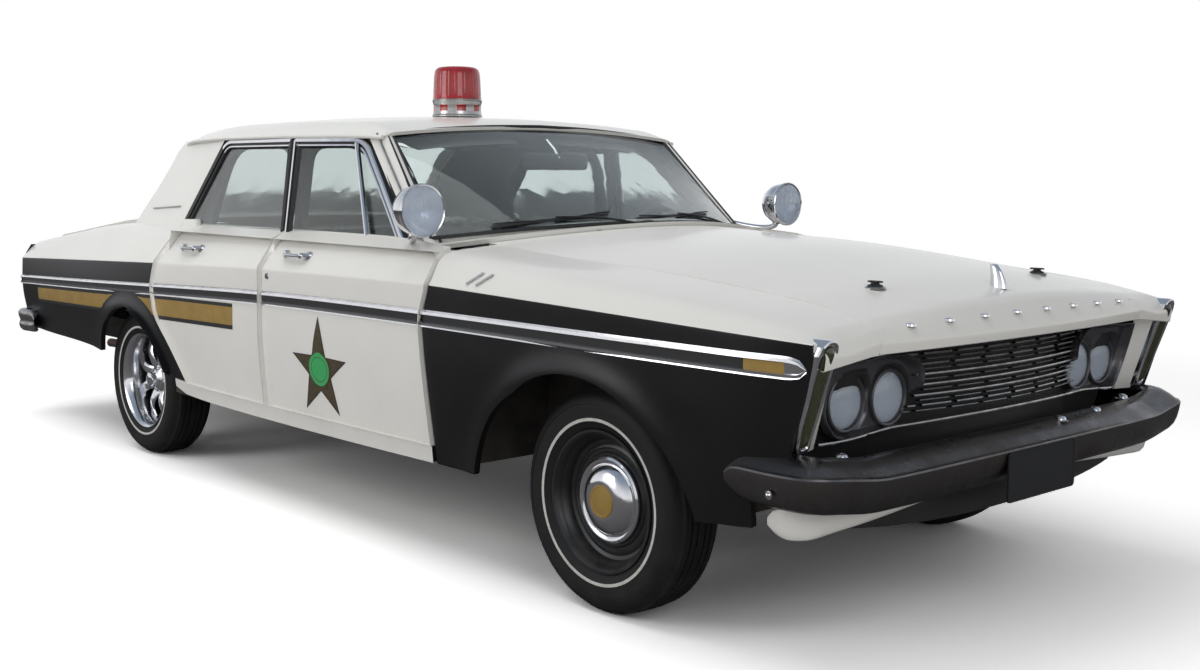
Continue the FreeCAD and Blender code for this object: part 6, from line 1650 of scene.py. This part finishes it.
# The world is white to the camera and through glass, and to metal and gloss a pale horizon
# that deepens overhead; it fills the shade softly.
world = bpy.data.worlds.new("studio")
bpy.context.scene.world = world
world.use_nodes = True
sky = world.node_tree
backdrop = sky.nodes["Background"]
rays = add(sky, "LightPath")
direction = add(sky, "TexCoord")
climb = add(sky, "SeparateXYZ")
overhead = add(sky, "MapRange", interpolation_type="SMOOTHSTEP", in_From_Min=0.05, in_From_Max=0.75)
gloss = add(sky, "Mix", data_type="RGBA")
gloss.inputs[6].default_value, gloss.inputs[7].default_value = (0.92, 0.93, 0.95, 1), (0.26, 0.32, 0.40, 1)
fill = add(sky, "Mix", data_type="RGBA")
fill.inputs[6].default_value = (0.36, 0.36, 0.36, 1)
shown = add(sky, "Math", operation="MAXIMUM")
tone = add(sky, "Mix", data_type="RGBA")
tone.inputs[7].default_value = (1, 1, 1, 1)
join(sky, (direction, "Generated", climb, "Vector"), (climb, "Z", overhead, "Value"),
     (overhead, "Result", gloss, "Factor"), (rays, "Is Glossy Ray", fill, "Factor"), (gloss, 2, fill, 7),
     (rays, "Is Camera Ray", shown, 0), (rays, "Is Transmission Ray", shown, 1),
     (shown, "Value", tone, "Factor"), (fill, 2, tone, 6), (tone, 2, backdrop, "Color"))


def soft_lamp(name, place, target, size, power):
    """A square soft box that faces a point of the car."""
    lamp = bpy.data.lights.new(name, "AREA")
    lamp.size, lamp.energy = size, power
    box = bpy.data.objects.new(name, lamp)
    bpy.context.collection.objects.link(box)
    box.location = place
    direction = np.array(target, float) - np.array(place, float)
    yaw, pitch = np.arctan2(direction[1], direction[0]), np.arctan2(direction[2], np.hypot(*direction[:2]))
    box.rotation_euler = (np.pi / 2 + pitch, 0, yaw - np.pi / 2)
    box.visible_glossy = name != "lamp_above"


soft_lamp("lamp_above", (-0.8, -1.2, 5.5), (-0.5, 0, 0.6), 5.0, 150)
soft_lamp("lamp_front", (6.0, -2.5, 3.2), (1.0, 0, 0.6), 3.0, 52)
soft_lamp("lamp_side", (-1.8, -6.5, 3.2), (-0.5, 0, 0.6), 3.5, 96)

view = bpy.data.cameras.new("camera")
view.sensor_width, view.lens = 36.0, 41.75
camera = bpy.data.objects.new("camera", view)
bpy.context.collection.objects.link(camera)
yaw, pitch, roll = 2.4040, -0.1179, 0.0059
camera.matrix_world = (Matrix.Translation((4.53683, -3.38416, 1.23644))
                       @ Matrix.Rotation(yaw - np.pi / 2, 4, "Z") @ Matrix.Rotation(np.pi / 2 + pitch, 4, "X")
                       @ Matrix.Rotation(roll, 4, "Z"))
bpy.context.scene.camera = camera
bpy.context.scene.view_settings.view_transform = "Standard"
